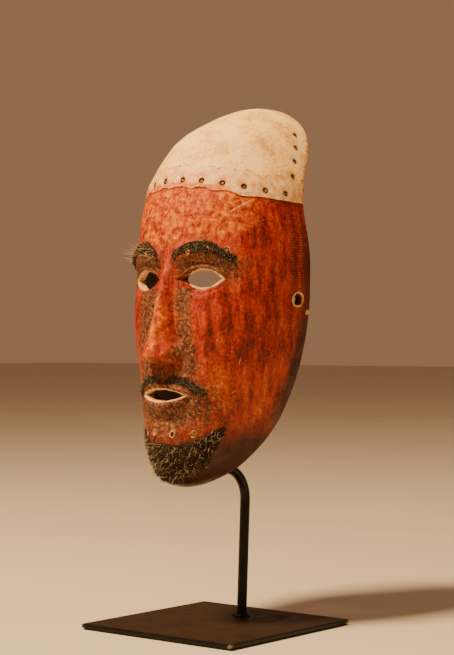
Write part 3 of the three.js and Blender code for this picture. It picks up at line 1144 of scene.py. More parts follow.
    def hole(self, z: float, turn_degrees: float) -> Hole:
        """Place a peg hole on the surface.

        Args:
            z: its height in millimetres.
            turn_degrees: its turn from the middle line.

        Returns:
            The hole.
        """
        share, turn = self.share_at(z), math.radians(turn_degrees)
        step = 0.01
        places = ((share + step, turn), (share - step, turn), (share, turn + step), (share, turn - step))
        around = [self.outer(np.array(s), np.array(t), 0.0, False) for s, t in places]
        out = np.cross(around[2] - around[3], around[0] - around[1])
        centre = self.outer(np.array(share), np.array(turn), 0.0)
        return Hole(tuple(centre), tuple(out / np.linalg.norm(out)))


HAND = Lattice(11)
FORM = MaskForm()


class PegHoles:
    """Where every peg and every empty hole sits, as the frame's nodes have them."""

    radius: float = 2.1
    depth_of_middle: float = 2.5

    def __init__(self) -> None:
        """Read the pegs' places off their nodes, and add the holes that have lost their pegs."""
        self.cap = self.of_nodes("cap_peg_", "rim_peg_")
        self.brow = self.of_nodes("brow_peg_")
        self.beard = self.of_nodes("beard_peg_")
        lost = ((158.0, -27.0), (158.0, 9.0), (158.0, 43.0), (144.0, 0.0))
        self.empty = [FORM.hole(z, turn) for z, turn in lost]

    def of_nodes(self, *starts: str) -> list[Hole]:
        """Find the holes of some pegs.

        Args:
            *starts: what the peg nodes' names start with.

        Returns:
            A hole under each node.
        """
        holes = []
        for name in nodes_starting(*starts):
            low, high = (np.array(corner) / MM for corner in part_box(name))
            middle = (low + high) / 2
            z = middle[2]
            for _ in range(3):
                half_width = float(FORM.station(FORM.share_at(z))[0])
                ratio = min(abs(middle[0]) / max(half_width - self.depth_of_middle, 1.0), 0.999)
                turn = math.copysign(math.asin(ratio ** (1 / FORM.power)), middle[0])
                hole = FORM.hole(float(z), math.degrees(turn))
                out = np.array(hole.out)
                z += middle[2] - (np.array(hole.centre) - self.depth_of_middle * out)[2]
            holes.append(Hole(tuple(middle + out * self.depth_of_middle), tuple(out)))
        return holes

    def distance(self, points: Array, holes: Sequence[Hole], reach: float = 11.0) -> Array:
        """Measure how far points are from the nearest hole's axis.

        Args:
            points: positions in millimetres.
            holes: the holes to measure from.
            reach: how far along its axis a hole counts.

        Returns:
            Distances in millimetres, and a large number out of reach.
        """
        best = np.full(len(points), FAR)
        for hole in holes:
            away = points - np.array(hole.centre)
            along = away @ np.array(hole.out)
            off = np.linalg.norm(away - along[:, None] * np.array(hole.out), axis=1)
            best = np.minimum(best, np.where(np.abs(along) < reach, off, FAR))
        return best

    def drill(self, piece: Piece) -> None:
        """Cut every hole through a piece, each drilled slightly unevenly.

        Args:
            piece: the wood or hide to drill.
        """
        tubes = Tubes()
        angles = turns(14)
        steps = ((-13.0, 1.9), (-0.9, self.radius), (1.2, self.radius + 0.25), (7.0, 3.2))
        for number, hole in enumerate(self.cap + self.brow + self.beard + self.empty):
            turn = Vector(hole.out).to_track_quat("Z", "Y")
            rings = []
            for depth, radius in steps:
                waver = 1 + 0.06 * np.sin(2 * angles + number) + 0.04 * np.sin(3 * angles - number)
                ring = [
                    Vector(hole.centre) + turn @ Vector((w * math.cos(t), w * math.sin(t), depth))
                    for w, t in zip(radius * waver, angles)
                ]
                rings.append(np.array(ring))
            tubes.add(rings)
        cut(piece, tubes.piece("peg_cutters"))


class Tubes:
    """Closed tubes that are collected into one mesh."""

    def __init__(self) -> None:
        """Start with none."""
        self.points: list[Array] = []
        self.faces: Faces = []

    def add(self, rings: Sequence[Array]) -> None:
        """Add a tube through rings of points, capped at both ends.

        Args:
            rings: rings of the same number of points, in millimetres.
        """
        start = sum(len(p) for p in self.points)
        count = len(rings[0])
        last = start + count * (len(rings) - 1)
        self.points.append(np.concatenate(rings))
        self.faces.extend(tuple(start + i for i in face) for face in ring_faces(len(rings), count))
        self.faces.append(tuple(range(start + count - 1, start - 1, -1)))
        self.faces.append(tuple(range(last, last + count)))

    def piece(self, name: str) -> Piece:
        """Make one object of them all."""
        return make_piece(name, np.concatenate(self.points), self.faces)


# ---------------------------------------------------------------------------------------------
# The carved shell


@dataclass
class CarvedShell:
    """The hollow wooden shell with its face, cut openings and worn rim."""

    form: MaskForm
    holes: PegHoles
    columns: int = 236
    inner_columns: int = 56
    tie_radius: float = 5.0
    tie_y: float = 12.0
    tie_z: float = 262.0

    def rows(self) -> Array:
        """Space the rows, closer together over the face and under the nose.

        Returns:
            Shares of the height.
        """
        share = np.linspace(0.0, 1.0, 6001)
        z = self.form.height_at(share)
        face = smoothstep(168.0, 178.0, z) * smoothstep(308.0, 298.0, z)
        dense = 0.34 + 0.5 * face + 1.3 * bump(z - 214.5, 4.0)
        density = dense * np.gradient(z, share) + 62.0
        steps = (density[1:] + density[:-1]) / 2 * np.diff(share)
        total = np.concatenate([[0.0], np.cumsum(steps)])
        count = int(round(total[-1]))
        return np.interp(np.linspace(0.0, total[-1], count + 1), total, share)

    def build(self) -> Piece:
        """Build the shell with every opening cut.

        Returns:
            The shell, with its paint masks.
        """
        share = self.rows()[:, None]
        outer = self.form.outer(share, spread_turns(self.columns)[None, :])
        inner = self.inner_wall(share)
        right = self.rim(outer[:, -1], inner[:, 0])
        left = self.rim(inner[:, -1], outer[:, 0])
        ring = np.concatenate([outer, right, inner, left], axis=1)
        shell = make_piece("carved_shell", ring, ring_faces(ring.shape[0], ring.shape[1]))
        cut(shell, self.opening_cutters())
        self.holes.drill(shell)
        shade_smooth(shell, 38)
        self.paint_masks(shell)
        return shell

    def inner_wall(self, share: Array) -> Array:
        """Shape the hollow's wall, with the marks of the adze.

        Args:
            share: shares of the height, one for each row.

        Returns:
            Points in millimetres, from the left rim to the right in each row.
        """
        form = self.form
        height = 1 - 2 * form.wall / (form.top - form.bottom)
        z = form.mid_z + (form.height_at(share) - form.mid_z) * height
        half_width, front, _ = form.station(share)
        _, _, rim = form.station(form.share_at(z))
        half_width = half_width * (1 - form.wall / form.half_width)
        front = form.mid_y + (front - form.mid_y) * (1 - form.wall / form.half_depth)
        closing = smoothstep(0.0, 0.03, share) * smoothstep(1.0, 0.97, share)
        front = rim + (front - rim) * closing
        turn = np.linspace(math.pi / 2, -math.pi / 2, self.inner_columns + 1)[None, :]
        x = half_width * np.sign(turn) * np.abs(np.sin(turn)) ** form.power
        y = rim - (rim - front) * np.clip(np.cos(turn), 0.0, 1.0) ** form.power
        points = np.stack(np.broadcast_arrays(x, y, z), axis=-1)
        scoops = 0.75 * HAND.at(points * np.array([1.0, 1.0, 0.45]) + 20.0, 9.0) * np.cos(turn)
        return points + form.outward(points) * (scoops * closing)[..., None]

    def rim(self, start: Array, end: Array) -> Array:
        """Shape the narrow face of the rim, with its corners worn round.

        Args:
            start: the points of the edge that it starts from.
            end: the points of the edge that it reaches.

        Returns:
            Points between the two edges, in millimetres.
        """
        steps = np.array([0.12, 0.3, 0.5, 0.7, 0.88])[None, :, None]
        band = start[:, None] + (end - start)[:, None] * steps
        proud = np.array([0.3, 0.75, 0.9, 0.75, 0.3])[None, :]
        uneven = 1.0 + 0.6 * HAND.at(band, 7.0)
        width = np.linalg.norm(end - start, axis=1)[:, None]
        band[..., 1] += proud * uneven * smoothstep(0.0, 6.0, width)
        return band

    def opening_cutters(self) -> Piece:
        """Shape what is cut out for the eyes and mouth, the nostrils and the tie holes.

        Returns:
            One object, wider outside than inside at each opening.
        """
        tubes = Tubes()
        flare = ((-24.0, 2.1), (0.8, 1.04), (3.0, 0.97), (9.5, 0.86), (26.0, 0.86))
        for lens in (self.form.eye(-1), self.form.eye(1), self.form.mouth()):
            front_y = float(self.form.at_front(lens.x, lens.z)[1])
            tubes.add([self.lens_ring(lens, front_y + offset, scale) for offset, scale in flare])
        around = turns(28)
        same = np.ones(len(around))
        for side in (-1, 1):
            rings = []
            for x, radius in ((56.0, 4.6), (71.5, 4.7), (73.6, 5.3), (78.0, 7.2)):
                wobble = radius * (1 + 0.05 * np.sin(2 * around + 1.0) + 0.03 * np.sin(5 * around))
                y, z = wobble * np.cos(around), wobble * np.sin(around)
                rings.append(np.stack([same * side * x, self.tie_y + y, self.tie_z + z], axis=-1))
            tubes.add(rings)
            front_y = float(self.form.at_front(6.0, 216.0)[1])
            rings = []
            for t in np.linspace(-1.0, 1.0, 9):
                radius = math.sqrt(max(1.0 - t * t, 0.0004))
                x = side * 6.6 + 2.7 * radius * np.cos(around)
                y = front_y + 8.5 + 4.2 * radius * np.sin(around)
                rings.append(np.stack([x, y, same * (210.6 + 5.0 * t)], axis=-1))
            tubes.add(rings)
        return tubes.piece("opening_cutters")

    def lens_ring(self, lens: Lens, y: float, scale: float) -> Array:
        """Shape one loop of a lens's cutter, cut slightly unevenly.

        Args:
            lens: the opening.
            y: the loop's place from front to back.
            scale: its size, as a share of the opening's.

        Returns:
            Points in millimetres.
        """
        t = np.linspace(0.0, 1.0, 25)
        x = lens.half_width * scale * (2 * t - 1)
        z = lens.half_height * scale * (1 - (2 * t - 1) ** 2)
        loop_x = np.concatenate([x, x[-2:0:-1]])
        loop_z = np.concatenate([z, -z[-2:0:-1]])
        waver = 0.25 * np.sin(loop_x * 0.55 + lens.x) * np.sign(loop_z + 1e-6)
        height = lens.z + loop_z + waver * (np.abs(loop_z) > 0.5)
        return np.stack([lens.x + loop_x, np.full(len(loop_x), y), height], axis=-1)

    def paint_masks(self, shell: Piece) -> None:
        """Store where the paint is orange or carries painted highlights, where it has painted shade, where
        it is dirty or worn off, and where the hollow is.

        Args:
            shell: the finished shell.
        """
        form = self.form
        p = positions(shell)
        x, y, z = p.T
        side = np.abs(x)
        depth = form.depth(p)
        facing = np.clip(np.cos(form.turn_at(x, z)), 0.0, 1.0)
        _, _, rim = form.station(form.share_at(z))
        tie = np.hypot(y - self.tie_y, z - self.tie_z) - self.tie_radius
        at_side = side > 40

        lenses = (form.eye(-1), form.eye(1), form.mouth())
        gap = np.minimum.reduce([self.gap(lens, x, z) for lens in lenses])
        lens_edge = bump(np.clip(gap, 0.0, None), 1.3)
        tie_edge = bump(np.clip(tie - 0.5, 0.0, None), 0.9) * at_side * smoothstep(1.9, 0.8, depth)
        bare_holes = self.holes.brow + self.holes.beard + self.holes.empty
        pegs = self.holes.distance(p, bare_holes) - self.holes.radius
        peg_edge = 0.85 * bump(np.clip(pegs, 0.0, None), 0.55)
        chip = bump(np.hypot(y - 24.0, z - 252.0), 2.6) * (x > 0)
        bare = np.maximum.reduce([lens_edge, tie_edge, peg_edge, chip]) * smoothstep(6.5, 5.0, depth)

        tie_bore = smoothstep(1.0, 2.2, depth) * (tie < 1.0) * at_side
        inside = np.maximum(smoothstep(3.6, 5.2, depth), tie_bore)
        cut_edge = np.maximum.reduce([lens_edge, tie_edge, peg_edge])
        inside = inside * (1 - cut_edge * smoothstep(7.0, 5.5, depth))

        # Orange paint on the forehead and along the cap's edge, painted highlights on the left temple and
        # along the nose's ridge, and orange on the lower cheeks.
        glow = 1.15 * bump(x + 8.0, 34.0) * bump(z - 324.0, 22.0) + 0.6 * bump(z - 341.0, 9.0) * facing
        glow += 0.72 * bump(x - 42.0, 20.0) * bump(z - 322.0, 17.0)
        glow += 0.9 * bump(side, 7.5) * bump(z - 240.0, 32.0)
        glow += 0.5 * bump(side - 40.0, 11.0) * bump(z - 196.0, 30.0)

        # Painted shade: darker towards the rear rim, less so high up, darker towards the jaw, and patchy on
        # the sides that turn away.
        edge = smoothstep(22.0, 3.0, rim - y) * (0.4 + 0.6 * smoothstep(325.0, 295.0, z))
        low = smoothstep(186.0, 128.0, z - 0.25 * (y + 60.0))
        shade = np.maximum(0.82 * edge, low) + 0.25 * HAND.at(p, 16.0) * (1 - facing)

        beside_nose = bump(side - 15.0 - 0.11 * (270.0 - z), 9.0)
        beside_nose = beside_nose * smoothstep(196.0, 208.0, z) * smoothstep(276.0, 266.0, z)
        # A darker strip down the right cheek, laid with the same grey-brown coat.
        darker_right_strip = bump(x + 25.0, 9.0) * smoothstep(188.0, 212.0, z) * smoothstep(296.0, 268.0, z)
        grimy = (
            bump(side - 30.0, 27.0) * bump(z - 287.0, 15.0),
            0.7 * bump(side - 49.0, 8.0) * bump(z - 285.0, 14.0),
            0.86 * beside_nose,
            1.35 * bump(side, 37.0) * bump(z - 184.0, 27.0),
            bump(side, 31.0) * bump(z - 168.0, 12.0),
            0.72 * darker_right_strip,
        )
        tooled = smoothstep(30.0, 14.0, rim - y) * bump(z - 296.0, 34.0) * (1.0 - inside)
        set_masks(shell, tooled=tooled, glow=glow, shade=shade, grime=np.maximum.reduce(grimy))
        set_masks(shell, bare=bare, inside=inside)

    @staticmethod
    def gap(lens: Lens, x: Array, z: Array) -> Array:
        """Measure how far points are outside an opening's outline.

        Args:
            lens: the opening.
            x: places across the face in millimetres.
            z: their heights.

        Returns:
            Rough distances, at least -1.
        """
        past_end = np.clip(np.abs(x - lens.x) - lens.half_width, 0.0, None)
        beyond = np.hypot(np.abs(z - lens.z), past_end) + 0.5
        return np.where(past_end > 0, beyond, np.maximum(lens.outside(x, z), -1.0))


def spread_turns(columns: int) -> Array:
    """Turns across the surface, closest together at the middle line."""
    a = np.linspace(-1.0, 1.0, columns + 1)
    return math.pi / 2 * (0.62 * a + 0.38 * a**3)


# ---------------------------------------------------------------------------------------------
# Hides


def sheet_faces(rows: int, ring: int, ends: Sequence[int]) -> Faces:
    """Join rows that run along a sheet's top and back along its underside.

    Args:
        rows: how many rows there are.
        ring: how many points are in each.
        ends: which of the first row (0) and the last (-1) are closed.

    Returns:
        The faces.
    """
    faces = ring_faces(rows, ring)
    last = ring * (rows - 1)
    for i in range(ring // 2 - 1):
        if 0 in ends:
            faces.append((i + 1, i, ring - 1 - i, ring - 2 - i))
    for i in range(ring // 2 - 1):
        if -1 in ends:
            faces.append((last + i, last + i + 1, last + ring - 2 - i, last + ring - 1 - i))
    return faces


@dataclass
class RawhideCap:
    """The rawhide stretched over the crown, its lower edge wavy and drawn in at the pegs."""

    form: MaskForm
    holes: PegHoles
    columns: int = 220
    rows: int = 96
    clearance: float = 0.35
    thickness: float = 1.15

    def build(self) -> Piece:
        """Build the cap with its peg holes.

        Returns:
            The cap, with its stain masks.
        """
        form = self.form
        turn = spread_turns(self.columns)[None, :]
        x_edge = form.outer(form.share_at(np.full(1, form.hairline_z)), turn[0])[:, 0]
        line = np.stack([x_edge, x_edge * 0, x_edge * 0], -1)
        ragged = 0.9 * np.sin(x_edge * 0.35) + 0.8 * HAND.at(line, 4.0)
        start = form.share_at(form.hairline(x_edge) + ragged)[None, :]
        up = (np.linspace(0.0, 1.0, self.rows + 1) ** 1.15)[:, None]
        share = start + (1.0 - start) * up
        turn = np.broadcast_to(turn, share.shape)
        top = form.outer(share, turn, self.relief(form.outer(share, turn), up))
        under = form.outer(share, turn, np.full(share.shape, self.clearance))
        points = np.concatenate([top, under[:, ::-1]], axis=1)
        cap = make_piece("rawhide_cap", points, sheet_faces(*points.shape[:2], ends=(0,)))
        self.holes.drill(cap)
        shade_smooth(cap, 50)
        self.stain_masks(cap)
        return cap

    def relief(self, points: Array, up: Array) -> Array:
        """Work out how far the hide's face stands off the wood.

        Args:
            points: where the hide lies, in millimetres.
            up: how far each row is from the front edge to the crown, from 0 to 1.

        Returns:
            Millimetres off the wood: little at the edges, dimpled at the pegs.
        """
        near = self.holes.distance(points.reshape(-1, 3), self.holes.cap).reshape(points.shape[:2])
        lumps = 0.22 * HAND.at(points, 11.0) + 0.3 * HAND.at(points + 9.0, 27.0)
        thick = self.thickness * (0.3 + 0.7 * smoothstep(0.0, 0.09, up))
        pull = 0.45 * bump(near, 3.6) - 0.28 * bump(near - 6.5, 2.6) * smoothstep(0.4, 0.1, up)
        face = thick + lumps * smoothstep(0.0, 0.08, up) - pull * smoothstep(0.0, 0.03, up)
        return self.clearance + np.maximum(face, 0.3)

    def stain_masks(self, cap: Piece) -> None:
        """Store the stained edge, the dirt round the pegs and how far the crack hangs down.

        Args:
            cap: the finished cap.
        """
        p = positions(cap)
        x, y, z = p.T
        above = z - self.form.hairline(x)
        lower = smoothstep(11.0, -1.0, above) * smoothstep(62.0, 38.0, np.abs(x + 5.0))
        lower = lower + 0.35 * smoothstep(7.0, 0.0, above)
        _, _, rim = self.form.station(self.form.share_at(z))
        rear = smoothstep(9.0, 0.0, rim - y) * smoothstep(415.0, 385.0, z)
        near = self.holes.distance(p, self.holes.cap)
        outside = smoothstep(0.8, 1.0, -self.form.depth(p))
        set_masks(
            cap,
            edge=np.maximum(0.9 * lower, 0.8 * rear),
            ring=bump(np.clip(near - self.holes.radius, 0.0, None), 0.6),
            drop=(np.abs(x) / 70.0) ** 2,
            hairy=outside * smoothstep(5.0, 3.0, np.abs(above - 1.5)),
        )


@dataclass
class HideStrip:
    """A strip of hairy hide that lies on the carving between a lower and an upper edge."""

    name: str
    form: MaskForm
    across: tuple[float, float]
    lower: tuple[float, ...]
    upper: tuple[float, ...]
    columns: int = 70
    rows: int = 18
    clearance: float = 0.35
    thickness: float = 1.2
    patchy: float = 0.5
    ragged: float = 0.7

    def build(self, holes: PegHoles, drilled: Sequence[Hole] = ()) -> Piece:
        """Build the strip, with ragged and thin edges.

        Args:
            holes: every peg hole.
            drilled: those that go through this strip.

        Returns:
            The strip, with a mask of where its hair grows.
        """
        u = np.linspace(0.0, 1.0, self.columns + 1)
        x = self.across[0] + (self.across[1] - self.across[0]) * u
        low, high = self.edge(u, x, self.lower, 0.0, 0.0), self.edge(u, x, self.upper, 30.0, 40.0)
        v = np.linspace(0.0, 1.0, self.rows + 1)[:, None]
        z = low + (high - low) * v
        x = np.broadcast_to(x, z.shape)
        ends = smoothstep(0.0, 0.06, u) * smoothstep(1.0, 0.94, u)
        edge = np.minimum(smoothstep(0.0, 0.18, v) * smoothstep(1.0, 0.82, v), ends[None, :])
        thick = self.thickness * (0.3 + 0.7 * edge)
        thick = thick * (1 + 0.25 * HAND.at(self.form.at_front(x, z), 3.0))
        top = self.form.at_front(x, z, self.clearance + thick)
        under = self.form.at_front(x, z, np.full(z.shape, self.clearance))
        points = np.concatenate([top, under[:, ::-1]], axis=1)
        strip = make_piece(self.name, points, sheet_faces(*points.shape[:2], ends=(0, -1)))
        if drilled:
            holes.drill(strip)
        for polygon in strip.data.polygons:
            polygon.use_smooth = True
        p = positions(strip)
        proud = self.form.at_front(p[:, 0], p[:, 2])[:, 1] - p[:, 1]
        thin = self.patchy * (0.6 + HAND.at(p, 5.0))
        clear = smoothstep(1.9, 2.9, holes.distance(p, drilled))
        set_masks(strip, hairy=smoothstep(0.42, 0.55, proud) * (1.0 - thin) * clear)
        return strip

    def edge(self, u: Array, x: Array, heights: Sequence[float], fine: float, broad: float) -> Array:
        """Draw one ragged edge through evenly spaced heights.

        Args:
            u: shares of the strip's length.
            x: places across the face, in millimetres.
            heights: the heights to pass through.
            fine: where on the lattice the small teeth are read.
            broad: where on it the large ones are.

        Returns:
            Heights in millimetres.
        """
        knots = np.linspace(0.0, 1.0, len(heights))
        smooth = np.polyval(np.polyfit(knots, heights, len(heights) - 1), u)
        line = np.stack([x, x * 0, x * 0], axis=-1)
        teeth = 0.9 * HAND.at(line + fine, 2.2) + self.ragged * HAND.at(line + broad, 6.5)
        return smooth + teeth * np.sin(math.pi * u) ** 0.3


# ---------------------------------------------------------------------------------------------
# Hair and pegs


def node_group(name: str, inputs: dict[str, str]) -> tuple[bpy.types.NodeTree, Any]:
    """Start a geometry node tree with named inputs.

    Args:
        name: the tree's name.
        inputs: the name of each input beside the geometry, and its type.

    Returns:
        The tree, and the outputs of its input node.
    """
    tree = bpy.data.node_groups.new(name, "GeometryNodeTree")
    for label, kind in {"Geometry": "Geometry", **inputs}.items():
        tree.interface.new_socket(name=label, in_out="INPUT", socket_type=f"NodeSocket{kind}")
    tree.interface.new_socket(name="Geometry", in_out="OUTPUT", socket_type="NodeSocketGeometry")
    return tree, add(tree, "NodeGroupInput").node.outputs


def grow_nodes(piece: Piece, tree: bpy.types.NodeTree, values: dict[str, float]) -> Piece:
    """Run a geometry node tree on a piece and keep the result.

    Args:
        piece: the object to run it on.
        tree: the tree.
        values: what its named inputs are set to.

    Returns:
        The same object as a plain mesh.
    """
    modifier = piece.modifiers.new(tree.name, "NODES")
    modifier.node_group = tree
    for item in tree.interface.items_tree:
        if item.item_type == "SOCKET" and item.name in values:
            modifier[item.identifier] = values[item.name]
    return freeze(piece)


@dataclass
class SingleHair:
    """One coarse hair: a bent three-sided blade, a millimetre long before it is scaled."""

    bend: float = 0.35
    rings: int = 4
    radius: float = 0.032

    def build(self) -> Piece:
        """Build the hair along +Z.

        Returns:
            The hair, to be repeated.
        """
        around = turns(3)
        rings = []
        for t in np.linspace(0.0, 1.0, self.rings):
            radius = self.radius * (1.0 - 0.8 * t)
            x = self.bend * t * t + radius * np.cos(around)
            rings.append(np.stack([x, radius * np.sin(around), np.full(3, t)], -1))
        points = np.concatenate(rings)
        count = len(points)
        faces = [*ring_faces(self.rings, 3), (2, 1, 0), (count - 3, count - 2, count - 1)]
        mesh = bpy.data.meshes.new("single_hair")
        mesh.from_pydata((points * MM).tolist(), [], faces)
        for polygon in mesh.polygons:
            polygon.use_smooth = True
        return place("single_hair", mesh)


@dataclass(frozen=True)
class HairCoat:
    """Hair grown over a hide by geometry nodes; density is in hairs per square millimetre."""

    density: float
    shortest: float
    longest: float
    lean: Point
    mess: float
    thick: float
    pale: float
    seed: int

    def grow(self, name: str, hide: Piece, hair: Piece, material: Material) -> Piece:
        """Grow the coat.

        Args:
            name: the new object's name.
            hide: the hide that the hair stands on.
            hair: the single hair to repeat.
            material: the hair's material.

        Returns:
            The coat as a plain mesh.
        """
        values = {
            "Hairs per square millimetre": self.density,
            "Shortest": self.shortest,
            "Longest": self.longest,
            "Mess": self.mess,
            "Thickness": self.thick,
            "Share that is pale": self.pale,
            "Seed": self.seed,
        }
        return grow_nodes(place(name, hide.data.copy()), self.tree(hair, material, values), values)

    def tree(self, hair: Piece, material: Material, values: dict[str, float]) -> bpy.types.NodeTree:
        """Build the node tree: points on the hairy side, a hair on each, realised and dressed.

        Args:
            hair: the single hair.
            material: the hair's material.
            values: the tree's inputs.

        Returns:
            The tree.
        """
        kinds = {name: "Int" if isinstance(value, int) else "Float" for name, value in values.items()}
        tree, given = node_group("hair_coat", kinds)
        put = partial(add, tree)
        vectors, floats = {"data_type": "FLOAT_VECTOR"}, {"data_type": "FLOAT"}
        above = floats | {"operation": "GREATER_THAN"}
        hairy = put("GeometryNodeInputNamedAttribute", floats, {"Name": "hairy"})
        per_metre = put(Kind.MATH, "MULTIPLY", (given["Hairs per square millimetre"], 1e6))
        spread = {
            "Mesh": given["Geometry"],
            "Selection": put("FunctionNodeCompare", above, {0: hairy, 1: 0.5}),
            "Density": per_metre,
            "Seed": given["Seed"],
        }
        spread = put("GeometryNodeDistributePointsOnFaces", None, spread).node.outputs
        # Each hair aims off the skin, down its lie, astray by the mess, and with its clump.
        mess = given["Mess"]
        less = put(Kind.MATH, "MULTIPLY", (mess, -1.0))
        low, high = (put("ShaderNodeCombineXYZ", None, (end, end, end)) for end in (less, mess))
        stray = put(Kind.RANDOM, vectors, {0: low, 1: high, "Seed": 1})
        clump = {"Vector": put("GeometryNodeInputPosition"), "Scale": 230.0, "Detail": 1.0}
        clump = put(Kind.CLOUDS, None, clump, "Color")
        clump = put(Kind.VECTOR, "SUBTRACT", (clump, (0.5, 0.5, 0.5)))
        aim = put(Kind.VECTOR, "ADD", (spread["Normal"], self.lean))
        aim = put(Kind.VECTOR, "ADD", (aim, stray))
        aim = put(Kind.VECTOR, "MULTIPLY_ADD", (clump, (5.0, 5.0, 5.0), aim))
        stand = put("FunctionNodeAlignRotationToVector", {"axis": "Z"}, {"Vector": aim})
        spin = put(Kind.RANDOM, vectors, {0: (0, 0, 0), 1: (0, 0, 6.283), "Seed": 2})
        spin = put("FunctionNodeEulerToRotation", None, (spin,))
        turn = put("FunctionNodeRotateRotation", {"rotation_space": "LOCAL"}, (stand, spin))
        ends = {2: given["Shortest"], 3: given["Longest"], "Seed": 3}
        length = put(Kind.RANDOM, floats, ends, 1)
        thick = given["Thickness"]
        placed = {
            "Points": spread["Points"],
            "Instance": put("GeometryNodeObjectInfo", None, {"Object": hair}, "Geometry"),
            "Rotation": turn,
            "Scale": put("ShaderNodeCombineXYZ", None, (thick, thick, length)),
        }
        placed = put("GeometryNodeInstanceOnPoints", None, placed)
        # Most hairs are near black; a share of them is faded.
        tone, chance = (put(Kind.RANDOM, floats, {2: 0.0, 3: 1.0, "Seed": seed}, 1) for seed in (4, 5))
        limit = put(Kind.MATH, "SUBTRACT", (1.0, given["Share that is pale"]))
        faded = put("FunctionNodeCompare", above, {0: chance, 1: limit})
        tone = put(Kind.RANGE, {"interpolation_type": "LINEAR"}, (tone, 0.0, limit, 0.0, 0.55))
        tone = put("GeometryNodeSwitch", {"input_type": "FLOAT"}, (faded, tone, 0.9))
        stored = floats | {"domain": "INSTANCE"}
        named = {"Geometry": placed, "Name": "tone", "Value": tone}
        placed = put("GeometryNodeStoreNamedAttribute", stored, named)
        real = put("GeometryNodeRealizeInstances", None, {"Geometry": placed})
        dressed = {"Geometry": real, "Material": material}
        put("NodeGroupOutput", None, {"Geometry": put("GeometryNodeSetMaterial", None, dressed)})
        return tree


@dataclass(frozen=True)
class Pegs:
    """Whittled pegs set into their holes by geometry nodes."""

    radius: float = 1.55
    length: float = 9.0
    sides: int = 7
    seed: int = 5

    def single(self) -> Piece:
        """Build one peg along +Z.

        Returns:
            The peg, its head just above the surface and broken unevenly.
        """
        rng = np.random.default_rng(self.seed)
        around = turns(self.sides)
        facet = 1 + rng.uniform(-0.1, 0.06, self.sides)
        rings = []
        for height, scale in ((-self.length, 0.82), (-2.0, 0.98), (0.2, 1.0), (0.75, 0.86), (0.6, 0.45)):
            lift = rng.uniform(-0.28, 0.28, self.sides) if height > 0 else 0.0
            r = self.radius * scale * facet
            rings.append(np.stack([r * np.cos(around), r * np.sin(around), height + lift + 0 * around], -1))
        points = np.concatenate([*rings, [[0.1, 0.0, 0.35]]])
        last, tip = self.sides * (len(rings) - 1), len(points) - 1
        faces = [*ring_faces(len(rings), self.sides), tuple(range(self.sides - 1, -1, -1))]
        faces += [(last + i, last + (i + 1) % self.sides, tip) for i in range(self.sides)]
        return make_piece("single_peg", points, faces, smooth=False)

    def build(self, name: str, holes: Sequence[Hole], material: Material) -> Piece:
        """Set a peg in each hole.

        Args:
            name: the new object's name.
            holes: where the pegs go.
            material: their material.

        Returns:
            All the pegs as one plain mesh.
        """
        mesh = bpy.data.meshes.new(name)
        mesh.from_pydata([tuple(np.array(h.centre) * MM) for h in holes], [], [])
        layer = mesh.attributes.new("straight_out", "FLOAT_VECTOR", "POINT")
        layer.data.foreach_set("vector", np.array([h.out for h in holes], dtype=np.float32).ravel())
        piece = place(name, mesh)
        peg = self.single()
        grow_nodes(piece, self.tree(peg, material), {"Shortest": 0.93, "Longest": 1.0, "Seed": self.seed})
        discard(peg)
        return piece

    def tree(self, peg: Piece, material: Material) -> bpy.types.NodeTree:
        """Build the node tree: a peg on each point, turned at random about its length.

        Args:
            peg: the single peg.
            material: its material.

        Returns:
            The tree.
        """
        kinds = {"Shortest": "Float", "Longest": "Float", "Seed": "Int"}
        tree, given = node_group("peg_row", kinds)
        put = partial(add, tree)
        vectors, floats = {"data_type": "FLOAT_VECTOR"}, {"data_type": "FLOAT"}
        out = put("GeometryNodeInputNamedAttribute", vectors, {"Name": "straight_out"})
        stand = put("FunctionNodeAlignRotationToVector", {"axis": "Z"}, {"Vector": out})
        spin = {0: (-0.06, -0.06, 0.0), 1: (0.06, 0.06, 6.283), "Seed": given["Seed"]}
        spin = put("FunctionNodeEulerToRotation", None, (put(Kind.RANDOM, vectors, spin),))
        ends = {2: given["Shortest"], 3: given["Longest"], "Seed": given["Seed"]}
        placed = {
            "Points": put("GeometryNodeMeshToPoints", None, (given["Geometry"],)),
            "Instance": put("GeometryNodeObjectInfo", None, {"Object": peg}, "Geometry"),
            "Rotation": put("FunctionNodeRotateRotation", {"rotation_space": "LOCAL"}, (stand, spin)),
            "Scale": put(Kind.RANDOM, floats, ends, 1),
        }
        placed = put("GeometryNodeInstanceOnPoints", None, placed)
        real = put("GeometryNodeRealizeInstances", None, {"Geometry": placed})
        dressed = {"Geometry": real, "Material": material}
        put("NodeGroupOutput", None, {"Geometry": put("GeometryNodeSetMaterial", None, dressed)})
        return tree


# ---------------------------------------------------------------------------------------------
# The stand


